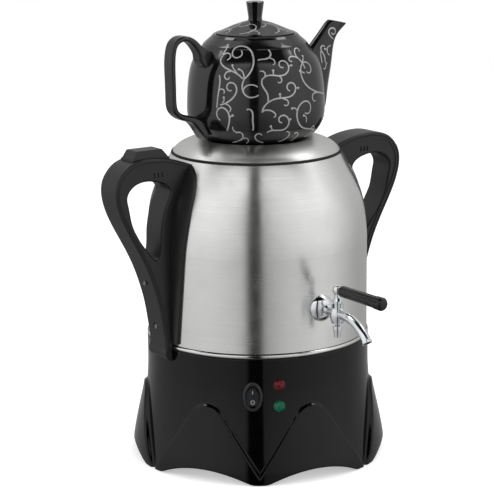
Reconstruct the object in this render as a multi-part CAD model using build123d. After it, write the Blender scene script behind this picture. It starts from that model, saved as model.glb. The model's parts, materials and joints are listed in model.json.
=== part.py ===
from build123d import *
import os
from math import cos, radians, sin, sqrt

# An electric samovar: a steel water tank on a petalled plastic base, a teapot kept warm on its lid, a plug-cock
# tap in front and a carrying handle on each side. Millimetres, +Z up, origin on the main axis at table level.
# The tap faces -Y and the handles lie on the X axis. An angle round the axis is measured from -Y towards +X.

# ---------------------------------------------------------------- driving dimensions
# base
BASE_TOP_Z = 118.0            # top edge of the plastic base
BASE_TOP_R = 107.5            # its radius there
BASE_STRAIGHT_Z = 90.0        # the base is a plain drum above this height
FOOT_R = 120.0                # reach of the six feet at table level
BASE_WALL = 2.6
PANEL_ANGLE = -33.5           # middle of the control panel, where the base is mirrored
PETALS = (26.3, 85.6, 148.5)  # the petals sit this far to each side of the panel's middle
FEET = (56.0, 117.0)          # so do the feet between them, with one more under the panel and one opposite
PILLAR_SIDE = [(BASE_TOP_R, BASE_STRAIGHT_Z), (108.8, 70), (111.4, 48), (115.0, 26), (118.6, 8), (FOOT_R, 0)]
PETAL_SIDE = [(109.4, 80), (111.6, 66), (115.4, 50), (119.8, 31), (123.0, 14), (123.5, 6), (122.9, 0)]
PETAL_TOP_Z = 84.0            # the petals' side curve is closed above here
PETAL_BACK_R = 90.0           # a petal is pushed outwards from inside the drum
PETAL_PUSH = 40.0
PETAL_APEX_Z = 72.5
PETAL_CROWN_R = 18.6          # rounded top of a petal
PETAL_FLANK_SLOPE = 1.49      # rise over run of its straight flanks
UNDERGROUND = -4.0            # drum and petals are made down to here, then cut off above the table
PETAL_ROUND = 4.2             # rounding of a petal's proud edge
ARCH_RISE = 13.0              # height of the scallop under a petal
ARCH_R = 98.0
FOOT_LIFT = 0.6               # the shell's edge clears the table by this much on its pads
COVER_Z = 13.0                # underside of the bottom cover
COVER_T = 2.2
COVER_R = 111.0
VENT_RINGS = [(52, 14), (66, 18), (80, 22)]   # radius of a ring of slots and their number
VENT_SLOT = (9.0, 3.0)
PAD_R = 7.0
PAD_H = 6.0
PAD_CIRCLE_R = 106.0
SCREW_CIRCLE_R = 107.0        # the cover's three screws
SCREW_HEAD_R = 3.3
COVER_SCREW_R = 1.35
COVER_SCREW_TOP_Z = 23.0
LUG = (15.0, 10.0, 10.0)      # the blocks inside the petals that they go into

# tank
TANK_R = 106.2
TANK_WALL = 1.2
TANK_STRAIGHT_Z = 211.0       # the shoulder starts curving in here
MOUTH_TOP_Z = 295.8
MOUTH_EDGE_R = 80.7           # outside of the lid seam
MOUTH_R = 75.8                # clear opening
SHOULDER = [(TANK_R, TANK_STRAIGHT_Z), (105.3, 228), (101.0, 254), (96.4, 266.6), (88.7, 282),
            (MOUTH_EDGE_R, MOUTH_TOP_Z)]
SKIRT_R = 103.0               # stepped-in skirt that drops into the base
SKIRT_Z = 108.0
BEAD_H = 4.4                  # bright bead between base and tank
BEAD_OUT_R = 107.6
FLOOR_Z = 110.0
FLOOR_T = 1.2

# heater under the tank's floor
PLATE_R = 62.0
PLATE_Z = FLOOR_Z - 4.0       # underside of the spreader plate
ELEMENT_R = 48.0
ELEMENT_TUBE_R = 4.0
ELEMENT_SWEEP = 336
COLD_END_R = 3.2
COLD_END_TURN = 12            # each cold end stands this far from the middle of the gap
BOLT_R = 3.0
BOLT_LOW_Z = 6.0
NUT_R = 5.8
NUT_T = 5.0
THERMOSTAT_AT = 26.0
THERMOSTAT_R = 9.0
THERMOSTAT_H = 11.0
THERMOSTAT_TURN = 60
BLADE = (6.3, 0.8, 9.0)       # a push-on terminal of the thermostats
FUSE_R = 2.0
FUSE_SPAN = (18.0, 36.0)
TERMINAL_AT = 78.0
TERMINAL = (30.0, 16.0, 14.0)
TERMINAL_POLES = (-9.0, 0.0, 9.0)

# lid of the tank
LID_T = 1.2
LID_EDGE_R = 80.4
LID_TOP = [(LID_EDGE_R, 296.1), (77.9, 299.4), (66.9, 306.1), (56.5, 309.5)]
SEAT_Z = 303.4                # floor of the recess that the teapot stands in
SEAT_R = 47.0
SEAT_RIM_R = 54.0
SEAT_RIM_Z = 309.3
LID_SKIRT_R = 74.0
LID_SKIRT_Z = 288.0
STEAM_HOLES = 8
STEAM_HOLE_R = 2.5
STEAM_CIRCLE_R = 24.0

# handles
HANDLE_W = 30.5
HANDLE_OUTER = [(82.0, 292.6), (92.5, 296.4), (106, 300.2), (119, 302.0), (130.5, 302.2), (142, 300.2),
                (150.5, 296.4), (157.3, 290.0), (161.8, 282.5), (163.5, 273.5), (161.8, 260.5), (154.8, 242.5),
                (142, 219), (131.4, 197.5), (123.7, 176), (118.7, 156.3), (115.4, 136.4), (114.2, 118.2)]
HANDLE_HOLE = [(150.6, 263.5), (149.3, 272.4), (144.5, 277.4), (133.5, 281.2), (120.5, 280.0), (109.5, 275.6),
               (105.4, 270.6), (108.4, 260.5), (113.5, 246.0), (116.2, 228), (117.6, 211.5), (120.2, 206.2),
               (127, 211.4), (136.5, 223.8), (145.8, 241.5)]
HOLE_ROUND = 1.8              # rounding of the hand hole's edges
HANDLE_TIP_Z = 107.5
COVER_BAND = 6.0              # thickness of the outer cover of a handle
SIDE_INSET = 0.8              # the inner half of a handle is this much narrower each side
SADDLE_T = 2.8
SADDLE = [(15.6, 291.5), (28.7, 279), (34.5, 252), (31.9, 216), (25.8, 157), (22.4, 124.5)]   # half width at z
SCREW_SPOTS = [(129.0, 182.5), (117.6, 139.2)]
SCREW_SINK = 2.2              # depth of a countersunk head's well
SCREW_R = 1.7
RIB_SLOTS = (114.5, 118.5, 122.5)
RIB_SLOT = (1.5, 2.0, 4.6)
RIB_SLOT_Z = 286.5

# lid button on the left handle
BUTTON_TRAVEL = 3.0
BUTTON_R = (104.0, 143.0)     # span of its foot along the handle
BUTTON_TOP_R = (111.0, 137.5)
BUTTON_W = 22.0
BUTTON_TOP_W = 18.5
BUTTON_TOP_Z = 309.5
BUTTON_FOOT_Z = 296.0
BUTTON_SKIRT_Z = 302.0
BUTTON_MID_R = (BUTTON_R[0] + BUTTON_R[1]) / 2
BUTTON_PLAY = 0.8             # the well is this much wider and longer than the button's foot
SPRING_LOW_Z = 285.4
SPRING_R = 2.7
SPRING_WIRE_R = 0.45
SPRING_PITCH = 3.2

# switch and lamps, in the wall of the base
SWITCH_ANGLE = -36.7
SWITCH_Z = 82.4
SWITCH_W = 18.5
SWITCH_H = 28.5
ROCKER_W = 11.6
ROCKER_H = 20.0
ROCKER_SWING = 16.0
SWITCH_FACE_R = BASE_TOP_R + 2.2
PIVOT_R = SWITCH_FACE_R - 5.5
PIVOT_PIN_R = 1.2
LAMP_ANGLE = -23.5
LAMP_Z = (93.0, 72.5)
LAMP_R = 5.6
LAMP_RISE = 3.4               # height of the dome
LAMP_RIM = 1.6
GLAND_ANGLE = 178.0
GLAND_Z = 30.0
GLAND_WALL_R = 120.2
GLAND_FLANGE_R = 8.0
GLAND_SLEEVE_R = 5.4
GLAND_BORE_R = 3.4

# tap
TAP_Z = 162.0
VALVE_R = 131.0               # distance of the valve's upright axis from the main axis
VALVE_Z = (153.5, 167.0)
COLLAR_TOP_Z = VALVE_Z[1] + 4.5
SHANK_R = 5.0
WATERWAY_R = 3.0
PORT_R = 2.6                  # cross port through the plug
PLUG_TAIL_R = 2.0
PLUG_TOP_R = 3.9
PLUG_BOTTOM_R = 3.2
RUNNING_FIT = 0.05
ROSETTE_R = 12.7
ROSETTE_EDGE_R = 106.0
LEVER_Z = 184.3
LEVER_ROD_R = 2.4
GRIP_R = 5.8
GRIP_END = 200.0
SPOUT_TIP = (176.0, 143.6)
SPOUT_R = 4.5
SPOUT_BORE = 3.2

# teapot
POT_Z = 303.5
POT_WALL = 3.6
POT_SIDE = [(38.0, 303.5), (51.5, 309.4), (60.3, 319), (64.6, 328.5), (65.5, 342), (63.2, 370), (57.6, 386.4),
            (50.0, 397.2), (42.0, 405.0)]
POT_FOOT_R = 33.0             # inside of the foot ring
POT_FOOT_RISE = 1.2
POT_COLLAR_R = 40.2
POT_COLLAR_Z = 407.6
POT_MOUTH_R = 31.0
NOTCH_ANGLE = -52.5           # the lid's tongue passes this notch in the collar when the lid is turned
NOTCH_R = 24.0
NOTCH_DEPTH = 2.3
NOTCH_Z = 404.8
POT_LID_R = 37.4
POT_LID_DOME = [(33.0, 410.0), (23.1, 414.3), (13.6, 417.7), (7.2, 419.4)]
POT_LID_UNDER = [(0, 416.0), (14.0, 414.0)]
PLUG_RING_R = 27.0            # inside of the ring that drops into the pot's mouth
PLUG_RING_Z = 401.0
KNOB = [(417.5, 6.9), (422.5, 6.4), (437.5, 8.5)]   # height, radius of its ten-sided sections
KNOB_SIDES = 10
POT_SPOUT = [(50.0, 348.0, 35, 28.0, 16.0), (67.0, 366.0, 45, 22.0, 12.5), (76.4, 384.7, 52, 14.3, 9.0),
             (80.0, 393.2, 58, 11.2, 7.8), (84.7, 401.5, 64, 9.3, 6.9), (89.9, 407.4, 67, 9.4, 6.6),
             (95.9, 412.3, 77, 10.2, 6.6)]   # centre, lean of the flow, half height, half width
POT_SPOUT_WALL = 2.6
EAR = [(55.0, 384.5, 16, 15.0), (63.0, 394.6, 15, 9.5), (70.0, 402.4, 15, 6.0), (78.1, 407.6, 15, 5.0),
       (84.8, 407.8, 15, 5.0), (91.2, 403.8, 15, 5.0), (94.1, 396.0, 15, 5.0), (94.9, 371.0, 15, 5.0),
       (94.6, 352.0, 15, 5.0), (93.1, 342.7, 15, 5.0), (88.2, 337.3, 15, 5.0), (79.5, 333.8, 15, 5.8),
       (69.5, 329.4, 16, 9.0), (57.0, 323.5, 18, 15.0)]   # centre, width, thickness
EAR_ROUND = 2.4

FAR = 20.0                    # cutting tools run on past the piece by about this much
GAP = 0.15                    # air left between pieces that are bolted face to face on a curve
REST_GAP = 0.1                # air under a piece that stands on another


# ---------------------------------------------------------------- helpers
def at(r, z, y=0.0):
    """A point of a side view: distance from the main axis and height."""
    return (r, y, z)


def line(*points):
    return Polyline(*[at(*p) for p in points])


def curve(points, **options):
    return Spline(*[at(*p) for p in points], **options)


def turned(*edges):
    """A solid of revolution from a closed side view."""
    return revolve(make_face(edges), Axis.Z)


def beside(edge, distance, count=14):
    """A curve that runs beside another one in the side view, distance to its right."""
    shifted = []
    for i in range(count + 1):
        point, along = edge @ (i / count), edge % (i / count)
        shifted.append((point.X + along.Z * distance, point.Z - along.X * distance))
    return shifted


def face_to(angle, shape):
    """Turns a piece that was made along +X to an angle round the main axis."""
    return Rot(0, 0, angle - 90) * shape


def radial_rod(r, start, end, z, y=0.0):
    """A cylinder that lies along +X."""
    return Pos((start + end) / 2, y, z) * Rot(0, 90, 0) * Cylinder(r, end - start)


def turned_on_x(z, *edges):
    """A solid of revolution about the line along +X at height z. The edges use (x, radius)."""
    return Pos(0, 0, z) * revolve(make_face(edges), Axis.X)


def upright(r, low, high, x=0.0, y=0.0):
    return Pos(x, y, (low + high) / 2) * Cylinder(r, high - low)


def save(name, shape):
    solids = shape if isinstance(shape, list) else [shape]
    shape = solids[0] if len(solids) == 1 else Compound(children=solids)
    export_step(shape, f"parts/{name}.step")


# ---------------------------------------------------------------- base
def pillar_curve(inset):
    return curve([(r - inset, z) for r, z in PILLAR_SIDE], tangents=[(0, 0, -1), (0.14, 0, -1)])


def petal_curve(inset):
    return curve([(r - inset, z) for r, z in PETAL_SIDE])


def flared_drum(side, top):
    """The solid inside a side curve, from below the table to the given top."""
    start, end = side @ 0, side @ 1
    return turned(line((0, top), (start.X, top), (start.X, start.Z)), side,
                  line((end.X, end.Z), (end.X, UNDERGROUND), (0, UNDERGROUND), (0, top)))


def petal_block(inset):
    """The outline of a petal: a round crown on two straight flanks, pushed out along +X."""
    crown_z = PETAL_APEX_Z - PETAL_CROWN_R
    crown_r = PETAL_CROWN_R - inset
    reach = sqrt(1 + PETAL_FLANK_SLOPE ** 2)
    side_y = crown_r * PETAL_FLANK_SLOPE / reach
    side_z = crown_z + crown_r / reach
    foot_y = side_y + (side_z - UNDERGROUND) / PETAL_FLANK_SLOPE
    back = PETAL_BACK_R
    left, right = at(back, side_z, -side_y), at(back, side_z, side_y)
    outline = [ThreePointArc(left, at(back, crown_z + crown_r), right),
               Polyline(right, at(back, UNDERGROUND, foot_y), at(back, UNDERGROUND, -foot_y), left)]
    return extrude(make_face(outline), PETAL_PUSH, dir=(1, 0, 0))


def petal_angles():
    return [PANEL_ANGLE + side * away for away in PETALS for side in (-1, 1)]


def foot_angles():
    return [PANEL_ANGLE + away for away in (0, FEET[0], FEET[1], 180, -FEET[1], -FEET[0])]


def screw_angles():
    """Three petals, as evenly round as they come."""
    return [PANEL_ANGLE + away for away in (PETALS[0], PETALS[2], -PETALS[1])]


def petalled_drum(top, inset):
    """The drum of the base with its six proud petals."""
    petal = petal_block(inset) & flared_drum(petal_curve(inset), PETAL_TOP_Z)
    if not inset:
        proud = [edge for edge in petal.edges() if (edge @ 0.5).X > SCREW_CIRCLE_R - 7]
        petal = fillet([edge for edge in proud if edge.bounding_box().size.Z > 3], PETAL_ROUND)
    drum = flared_drum(pillar_curve(inset), top)
    for angle in petal_angles():
        drum += face_to(angle, petal)
    return drum


def base_shell():
    shell = petalled_drum(BASE_TOP_Z, 0)
    shell -= petalled_drum(BASE_TOP_Z - BASE_WALL, BASE_WALL)
    shell -= upright(SKIRT_R + GAP, BASE_TOP_Z - FAR / 2, BASE_TOP_Z + FAR)
    shell &= upright(FOOT_R + FAR, FOOT_LIFT, BASE_TOP_Z + FAR)
    arch = radial_rod(ARCH_R, PETAL_BACK_R - FAR, FOOT_R + FAR, ARCH_RISE - ARCH_R)
    lug = Pos(SCREW_CIRCLE_R + 4, 0, COVER_Z + COVER_T + LUG[2] / 2) * Box(*LUG)
    lug -= upright(COVER_SCREW_R + 0.05, 0, 2 * FAR, x=SCREW_CIRCLE_R)
    for angle in petal_angles():
        shell -= face_to(angle, arch)
    for angle in screw_angles():
        shell += face_to(angle, lug)
    shell -= switch_place(switch_body_solid())
    for z in LAMP_Z:
        shell -= face_to(LAMP_ANGLE, lamp_solid(z))
    return shell - face_to(GLAND_ANGLE, gland_solid())


def bottom_cover():
    cover = upright(COVER_R, COVER_Z, COVER_Z + COVER_T)
    cover -= upright(BOLT_R + 0.2, 0, 2 * FAR)
    for ring, count in VENT_RINGS:
        slot = extrude(Pos(ring, 0, 0) * SlotOverall(*VENT_SLOT), 2 * FAR)
        cover -= [Rot(0, 0, i * 360 / count) * slot for i in range(count)]
    post = upright(PAD_R + 1.6, 2.5, COVER_Z, x=PAD_CIRCLE_R) - upright(PAD_R + GAP, 0, PAD_H, x=PAD_CIRCLE_R)
    for angle in foot_angles():
        cover += face_to(angle, post)
    for angle in screw_angles():
        cover -= face_to(angle, upright(1.9, 0, 2 * FAR, x=SCREW_CIRCLE_R))
    return cover


def rubber_feet():
    pad = upright(PAD_R, 0, PAD_H, x=PAD_CIRCLE_R)
    pad = chamfer(pad.edges().group_by(Axis.Z)[0], 0.6)
    return [face_to(angle, pad) for angle in foot_angles()]


def cover_screws():
    head = upright(SCREW_HEAD_R, COVER_Z - SCREW_SINK, COVER_Z, x=SCREW_CIRCLE_R)
    head = fillet(head.edges().group_by(Axis.Z)[0], 1.2)
    screw = head + upright(COVER_SCREW_R, COVER_Z, COVER_SCREW_TOP_Z, x=SCREW_CIRCLE_R)
    return [face_to(angle, screw) for angle in screw_angles()]


def rim_bead():
    inner, half = SKIRT_R + GAP, BEAD_H / 2
    low, high = (BEAD_OUT_R - half, BASE_TOP_Z), (BEAD_OUT_R - half, BASE_TOP_Z + BEAD_H)
    return turned(line(low, (inner, BASE_TOP_Z), (inner, BASE_TOP_Z + BEAD_H), high),
                  ThreePointArc(at(*high), at(BEAD_OUT_R, BASE_TOP_Z + half), at(*low)))


# ---------------------------------------------------------------- tank
def shoulder_curve(points):
    return curve(points, tangents=[(0, 0, 1), (-0.66, 0, 1)])


def tank_envelope(outset):
    """Everything inside the outer face of tank, bead and base top, grown by outset: what the handles sit on."""
    side = shoulder_curve(SHOULDER)
    grown = beside(side, outset)
    top = grown[-1]
    ring_r = BASE_TOP_R + outset + 0.1
    low, step = BASE_STRAIGHT_Z - 10, BASE_TOP_Z + BEAD_H + 0.4
    return turned(line((0, low), (ring_r, low), (ring_r, step), (TANK_R + outset, step), grown[0]),
                  curve(grown), line(top, (0, top[1]), (0, low)))


def tank_body():
    step_z = BASE_TOP_Z + BEAD_H + 0.3
    side = shoulder_curve(SHOULDER)
    outer = turned(line((0, SKIRT_Z), (SKIRT_R, SKIRT_Z), (SKIRT_R, step_z), (TANK_R, step_z),
                        (TANK_R, TANK_STRAIGHT_Z)), side, line((MOUTH_EDGE_R, MOUTH_TOP_Z), (0, MOUTH_TOP_Z),
                                                              (0, SKIRT_Z)))
    inner_side = beside(side, -TANK_WALL)
    top = inner_side[-1]
    inner = turned(line((0, 100), (SKIRT_R - TANK_WALL, 100), (SKIRT_R - TANK_WALL, step_z + TANK_WALL),
                        (TANK_R - TANK_WALL, step_z + TANK_WALL), inner_side[0]),
                   curve(inner_side), line(top, (0, top[1]), (0, 100)))
    tank = outer - inner - upright(MOUTH_R, MOUTH_TOP_Z - FAR, MOUTH_TOP_Z + FAR)
    return tank - face_to(0, radial_rod(SHANK_R + 0.2, TANK_R - FAR, TANK_R + FAR, TAP_Z))


def tank_floor():
    """A flat disc seam-welded into the skirt."""
    return upright(SKIRT_R - TANK_WALL - 0.02, FLOOR_Z, FLOOR_Z + FLOOR_T)


def floor_seal():
    """Silicone ring between the tank's skirt and the lip of the base."""
    r = SKIRT_R - TANK_WALL
    return upright(r - 0.1, SKIRT_Z - 0.2, FLOOR_Z) - upright(r - 5, FLOOR_Z - FAR, FLOOR_Z + FAR)


def heater_plate():
    return upright(PLATE_R, PLATE_Z, FLOOR_Z) - upright(BOLT_R + 0.1, FLOOR_Z - FAR, FLOOR_Z + FAR)


def heating_element():
    """A sheathed ring pressed under the plate, with its two cold ends turned down."""
    z = PLATE_Z - ELEMENT_TUBE_R - 0.05
    tube = Plane(origin=at(ELEMENT_R, z), z_dir=(0, 1, 0)) * Circle(ELEMENT_TUBE_R)
    ring = Rot(0, 0, COLD_END_TURN) * revolve(tube, Axis.Z, ELEMENT_SWEEP)
    for side in (-1, 1):
        ring += Rot(0, 0, COLD_END_TURN * side) * upright(COLD_END_R, z - 18, z + 2, x=ELEMENT_R)
    return face_to(180, ring)


def tie_bolt():
    return upright(BOLT_R, BOLT_LOW_Z, FLOOR_Z)


def tie_nut():
    nut = extrude(Pos(0, 0, COVER_Z - NUT_T) * RegularPolygon(NUT_R, 6), NUT_T)
    return nut - upright(BOLT_R + RUNNING_FIT, 0, 2 * FAR)


def thermostats():
    """Boil and keep-warm bimetal discs under the plate."""
    body = upright(THERMOSTAT_R, PLATE_Z - THERMOSTAT_H, PLATE_Z, x=THERMOSTAT_AT)
    body += [Pos(THERMOSTAT_AT, y, PLATE_Z - THERMOSTAT_H - 4) * Box(*BLADE) for y in (-4.5, 4.5)]
    return [face_to(angle, body) for angle in (THERMOSTAT_TURN, -THERMOSTAT_TURN)]


def thermal_fuse():
    return face_to(0, radial_rod(FUSE_R, *FUSE_SPAN, PLATE_Z - FUSE_R - 0.1))


def terminal_block():
    low = COVER_Z + COVER_T
    block = Pos(0, TERMINAL_AT, low + TERMINAL[2] / 2) * Box(*TERMINAL)
    return block - [Pos(x, TERMINAL_AT, low + 12) * Cylinder(2.5, 8) for x in TERMINAL_POLES]


# ---------------------------------------------------------------- switch, lamps, gland
def switch_place(shape):
    return face_to(SWITCH_ANGLE, Pos(0, 0, SWITCH_Z) * shape)


def oval_prism(width, height, start, end):
    sketch = Plane(origin=(start, 0, 0), x_dir=(0, 1, 0), z_dir=(1, 0, 0)) * Ellipse(width / 2, height / 2)
    return extrude(sketch, end - start)


def switch_body_solid():
    """The bezel and its housing as one plain block, which is also the hole it needs."""
    bezel = oval_prism(SWITCH_W, SWITCH_H, BASE_TOP_R - 0.4, SWITCH_FACE_R)
    bezel = fillet(bezel.edges().group_by(Axis.X)[-1], 1.6)
    return bezel + oval_prism(SWITCH_W - 3, SWITCH_H - 3.4, BASE_TOP_R - 20, BASE_TOP_R)


def switch_housing():
    body = switch_body_solid() - oval_prism(ROCKER_W + 1.2, ROCKER_H + 1.8, PIVOT_R - 9, PIVOT_R + FAR)
    body -= Pos(PIVOT_R, 0, 0) * Rot(90, 0, 0) * Cylinder(PIVOT_PIN_R + RUNNING_FIT, ROCKER_W + 3)
    for z in (-6, 6):
        body += Pos(BASE_TOP_R - 24, 0, z) * Box(9, 4.8, 0.8)
    return switch_place(body)


def switch_rocker():
    """Two sloping halves about a pin. The lower half is pressed at rest."""
    reach = ROCKER_H / 2
    tilt = ROCKER_SWING / 2
    paddle = oval_prism(ROCKER_W, ROCKER_H, PIVOT_R - 5, PIVOT_R + 9)
    paddle &= Pos(PIVOT_R, 0, 0) * Rot(90, 0, 0) * Cylinder(reach + 0.1, ROCKER_W + 2)
    profile = Polyline((PIVOT_R - 6, 0, -15), (PIVOT_R + 7.6, 0, -15), (PIVOT_R + 5.0, 0, 0),
                       (PIVOT_R + 7.6, 0, 15), (PIVOT_R - 6, 0, 15), (PIVOT_R - 6, 0, -15))
    paddle &= extrude(make_face(profile), ROCKER_W, both=True)
    paddle += Pos(PIVOT_R, 0, 0) * Rot(90, 0, 0) * Cylinder(PIVOT_PIN_R, ROCKER_W + 2.6)
    paddle = Pos(PIVOT_R, 0, 0) * Rot(0, tilt, 0) * Pos(-PIVOT_R, 0, 0) * paddle
    return switch_place(paddle)


def lamp_solid(z):
    """A domed lens on a short barrel."""
    wall = BASE_TOP_R - 0.6
    barrel = radial_rod(LAMP_R - 1.4, wall - 9, wall + 1, z)
    ball_r = (LAMP_R ** 2 + LAMP_RISE ** 2) / (2 * LAMP_RISE)
    dome = Pos(wall + LAMP_RIM + LAMP_RISE - ball_r, 0, z) * Rot(0, 90, 0) * Sphere(ball_r)
    dome -= radial_rod(2 * LAMP_R, wall - FAR, wall + LAMP_RIM, z)
    return barrel + radial_rod(LAMP_R, wall, wall + LAMP_RIM, z) + dome


def lamp(z):
    bulb_hole = radial_rod(2.6, BASE_TOP_R - 12, BASE_TOP_R - 1, z)
    return face_to(LAMP_ANGLE, lamp_solid(z) - bulb_hole)


def lamp_bulbs():
    return [face_to(LAMP_ANGLE, radial_rod(2.3, BASE_TOP_R - 14, BASE_TOP_R - 1.4, z)) for z in LAMP_Z]


def gland_solid():
    """Collar and sleeve where the supply lead enters, without its bore."""
    flange = radial_rod(GLAND_FLANGE_R, GLAND_WALL_R - 1.2, GLAND_WALL_R + 2.6, GLAND_Z)
    flange = fillet(flange.edges().group_by(Axis.X)[-1], 1.4)
    return flange + radial_rod(GLAND_SLEEVE_R, GLAND_WALL_R - 12, GLAND_WALL_R, GLAND_Z)


def cord_gland():
    bore = radial_rod(GLAND_BORE_R, GLAND_WALL_R - FAR, GLAND_WALL_R + FAR, GLAND_Z)
    return face_to(GLAND_ANGLE, gland_solid() - bore)


# ---------------------------------------------------------------- handles
def handle_view():
    """The whole side view of a handle, down to its rounded tip on the base."""
    outer = curve(HANDLE_OUTER, tangents=[(1, 0, 0.42), (0, 0, -1)])
    end = HANDLE_OUTER[-1]
    tip = ThreePointArc(at(*end), at(end[0] - 1.6, HANDLE_TIP_Z + 2.6), at(end[0] - 6.5, HANDLE_TIP_Z))
    inner = line((end[0] - 6.5, HANDLE_TIP_Z), (70, HANDLE_TIP_Z), (70, HANDLE_OUTER[0][1]), HANDLE_OUTER[0])
    return outer, tip, inner


def band_region():
    """The side view of the outer cover: a band that follows the outer edge."""
    outer, tip, _ = handle_view()
    inner = beside(outer, COVER_BAND, count=22)
    foot = line((HANDLE_OUTER[-1][0] - 6.5, HANDLE_TIP_Z), inner[-1])
    return make_face([outer, tip, foot, curve(inner[::-1]), line(inner[0], HANDLE_OUTER[0])])


def saddle():
    """A thin pad that follows the tank behind the leg of the handle."""
    half = Spline(*[(0, y, z) for y, z in SADDLE])
    other = Spline(*[(0, -y, z) for y, z in SADDLE])
    top = Polyline((0, SADDLE[0][0], SADDLE[0][1]), (0, -SADDLE[0][0], SADDLE[0][1]))
    foot = Polyline((0, SADDLE[-1][0], SADDLE[-1][1]), (0, -SADDLE[-1][0], SADDLE[-1][1]))
    block = extrude(make_face([half, top, other, foot]), 130, dir=(1, 0, 0))
    return block & tank_envelope(SADDLE_T)


def handle_core():
    slab = extrude(make_face(handle_view()), HANDLE_W / 2 - SIDE_INSET, both=True)
    hole = make_face(Spline(*[at(*p) for p in HANDLE_HOLE], periodic=True))
    slab -= extrude(hole, HANDLE_W, both=True)
    slab = fillet([edge for edge in slab.edges() if edge.is_closed], HOLE_ROUND)
    core = slab + saddle() - extrude(band_region(), HANDLE_W / 2 + 0.01, both=True)
    core -= tank_envelope(GAP)
    for r in RIB_SLOTS:
        slot = Rot(0, 12, 0) * Box(*RIB_SLOT)
        core -= [Pos(r, side * (HANDLE_W / 2 - SIDE_INSET), RIB_SLOT_Z) * slot for side in (-1, 1)]
    for r, z in SCREW_SPOTS:
        core -= radial_rod(SCREW_R + 0.1, r - 17, r, z)
    return core


def handle_cover():
    cover = extrude(band_region(), HANDLE_W / 2, both=True)
    long_edges = [e for e in cover.edges() if e.length > 200]
    cover = fillet([e for e in long_edges if (e @ 0.3).X > 150 or (e @ 0.5).X > 150], 2.6)
    cover -= tank_envelope(GAP)
    for r, z in SCREW_SPOTS:
        cover -= radial_rod(SCREW_HEAD_R + 0.4, r - SCREW_SINK, r + FAR / 2, z)
        cover -= radial_rod(SCREW_R + 0.2, r - FAR, r, z)
    return cover


def handle_screws():
    screws = []
    for r, z in SCREW_SPOTS:
        head = radial_rod(SCREW_HEAD_R, r - SCREW_SINK, r - 0.4, z)
        screws.append(head + radial_rod(SCREW_R, max(r - 16, TANK_R + 1), r - SCREW_SINK, z))
    return [face_to(side, screw) for side in (90, -90) for screw in screws]


def button_pocket():
    """The well in the top of the left handle, cut through its cover into the core."""
    length, width = BUTTON_R[1] - BUTTON_R[0] + BUTTON_PLAY, BUTTON_W + BUTTON_PLAY
    well = Pos(BUTTON_MID_R, 0, BUTTON_FOOT_Z - BUTTON_TRAVEL - 0.5 + FAR) * Box(length, width, 2 * FAR)
    return well + upright(SPRING_R + 1.5, SPRING_LOW_Z - 0.9, 300, x=BUTTON_MID_R)


def lid_button():
    foot = Pos(BUTTON_MID_R, 0, BUTTON_FOOT_Z) * Rectangle(BUTTON_R[1] - BUTTON_R[0], BUTTON_W)
    skirt = extrude(foot, BUTTON_SKIRT_Z - BUTTON_FOOT_Z)
    top_middle = (BUTTON_TOP_R[0] + BUTTON_TOP_R[1]) / 2
    base = Pos(BUTTON_MID_R, 0, BUTTON_SKIRT_Z) * Rectangle(BUTTON_R[1] - BUTTON_R[0] - 1.6, BUTTON_W - 1.6)
    top = Pos(top_middle, 0, BUTTON_TOP_Z) * Rectangle(BUTTON_TOP_R[1] - BUTTON_TOP_R[0], BUTTON_TOP_W)
    cap = loft([base, top])
    cap = fillet(cap.edges().group_by(Axis.Z)[-1], 1.4)
    return skirt + cap - upright(SPRING_R + 0.9, BUTTON_FOOT_Z - 1, BUTTON_FOOT_Z + 3, x=BUTTON_MID_R)


def button_spring():
    coil = Helix(pitch=SPRING_PITCH, height=BUTTON_FOOT_Z + 2.4 - SPRING_LOW_Z, radius=SPRING_R)
    spring = sweep(Plane(origin=coil @ 0, z_dir=coil % 0) * Circle(SPRING_WIRE_R), coil, is_frenet=True)
    return Pos(BUTTON_MID_R, 0, SPRING_LOW_Z) * spring


# ---------------------------------------------------------------- tap
def tap_rosette():
    hole, back, front = SHANK_R + 0.1, ROSETTE_EDGE_R - 2, ROSETTE_EDGE_R + 7.4
    shoulder = (ROSETTE_EDGE_R + 1.2, 0, ROSETTE_R)
    dome = turned_on_x(TAP_Z, Polyline((back, 0, hole), (back, 0, ROSETTE_R), shoulder),
                       ThreePointArc(shoulder, (ROSETTE_EDGE_R + 5.2, 0, 9.6), (front, 0, hole)),
                       Polyline((front, 0, hole), (back, 0, hole)))
    return face_to(0, dome - tank_envelope(0.05))


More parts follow.
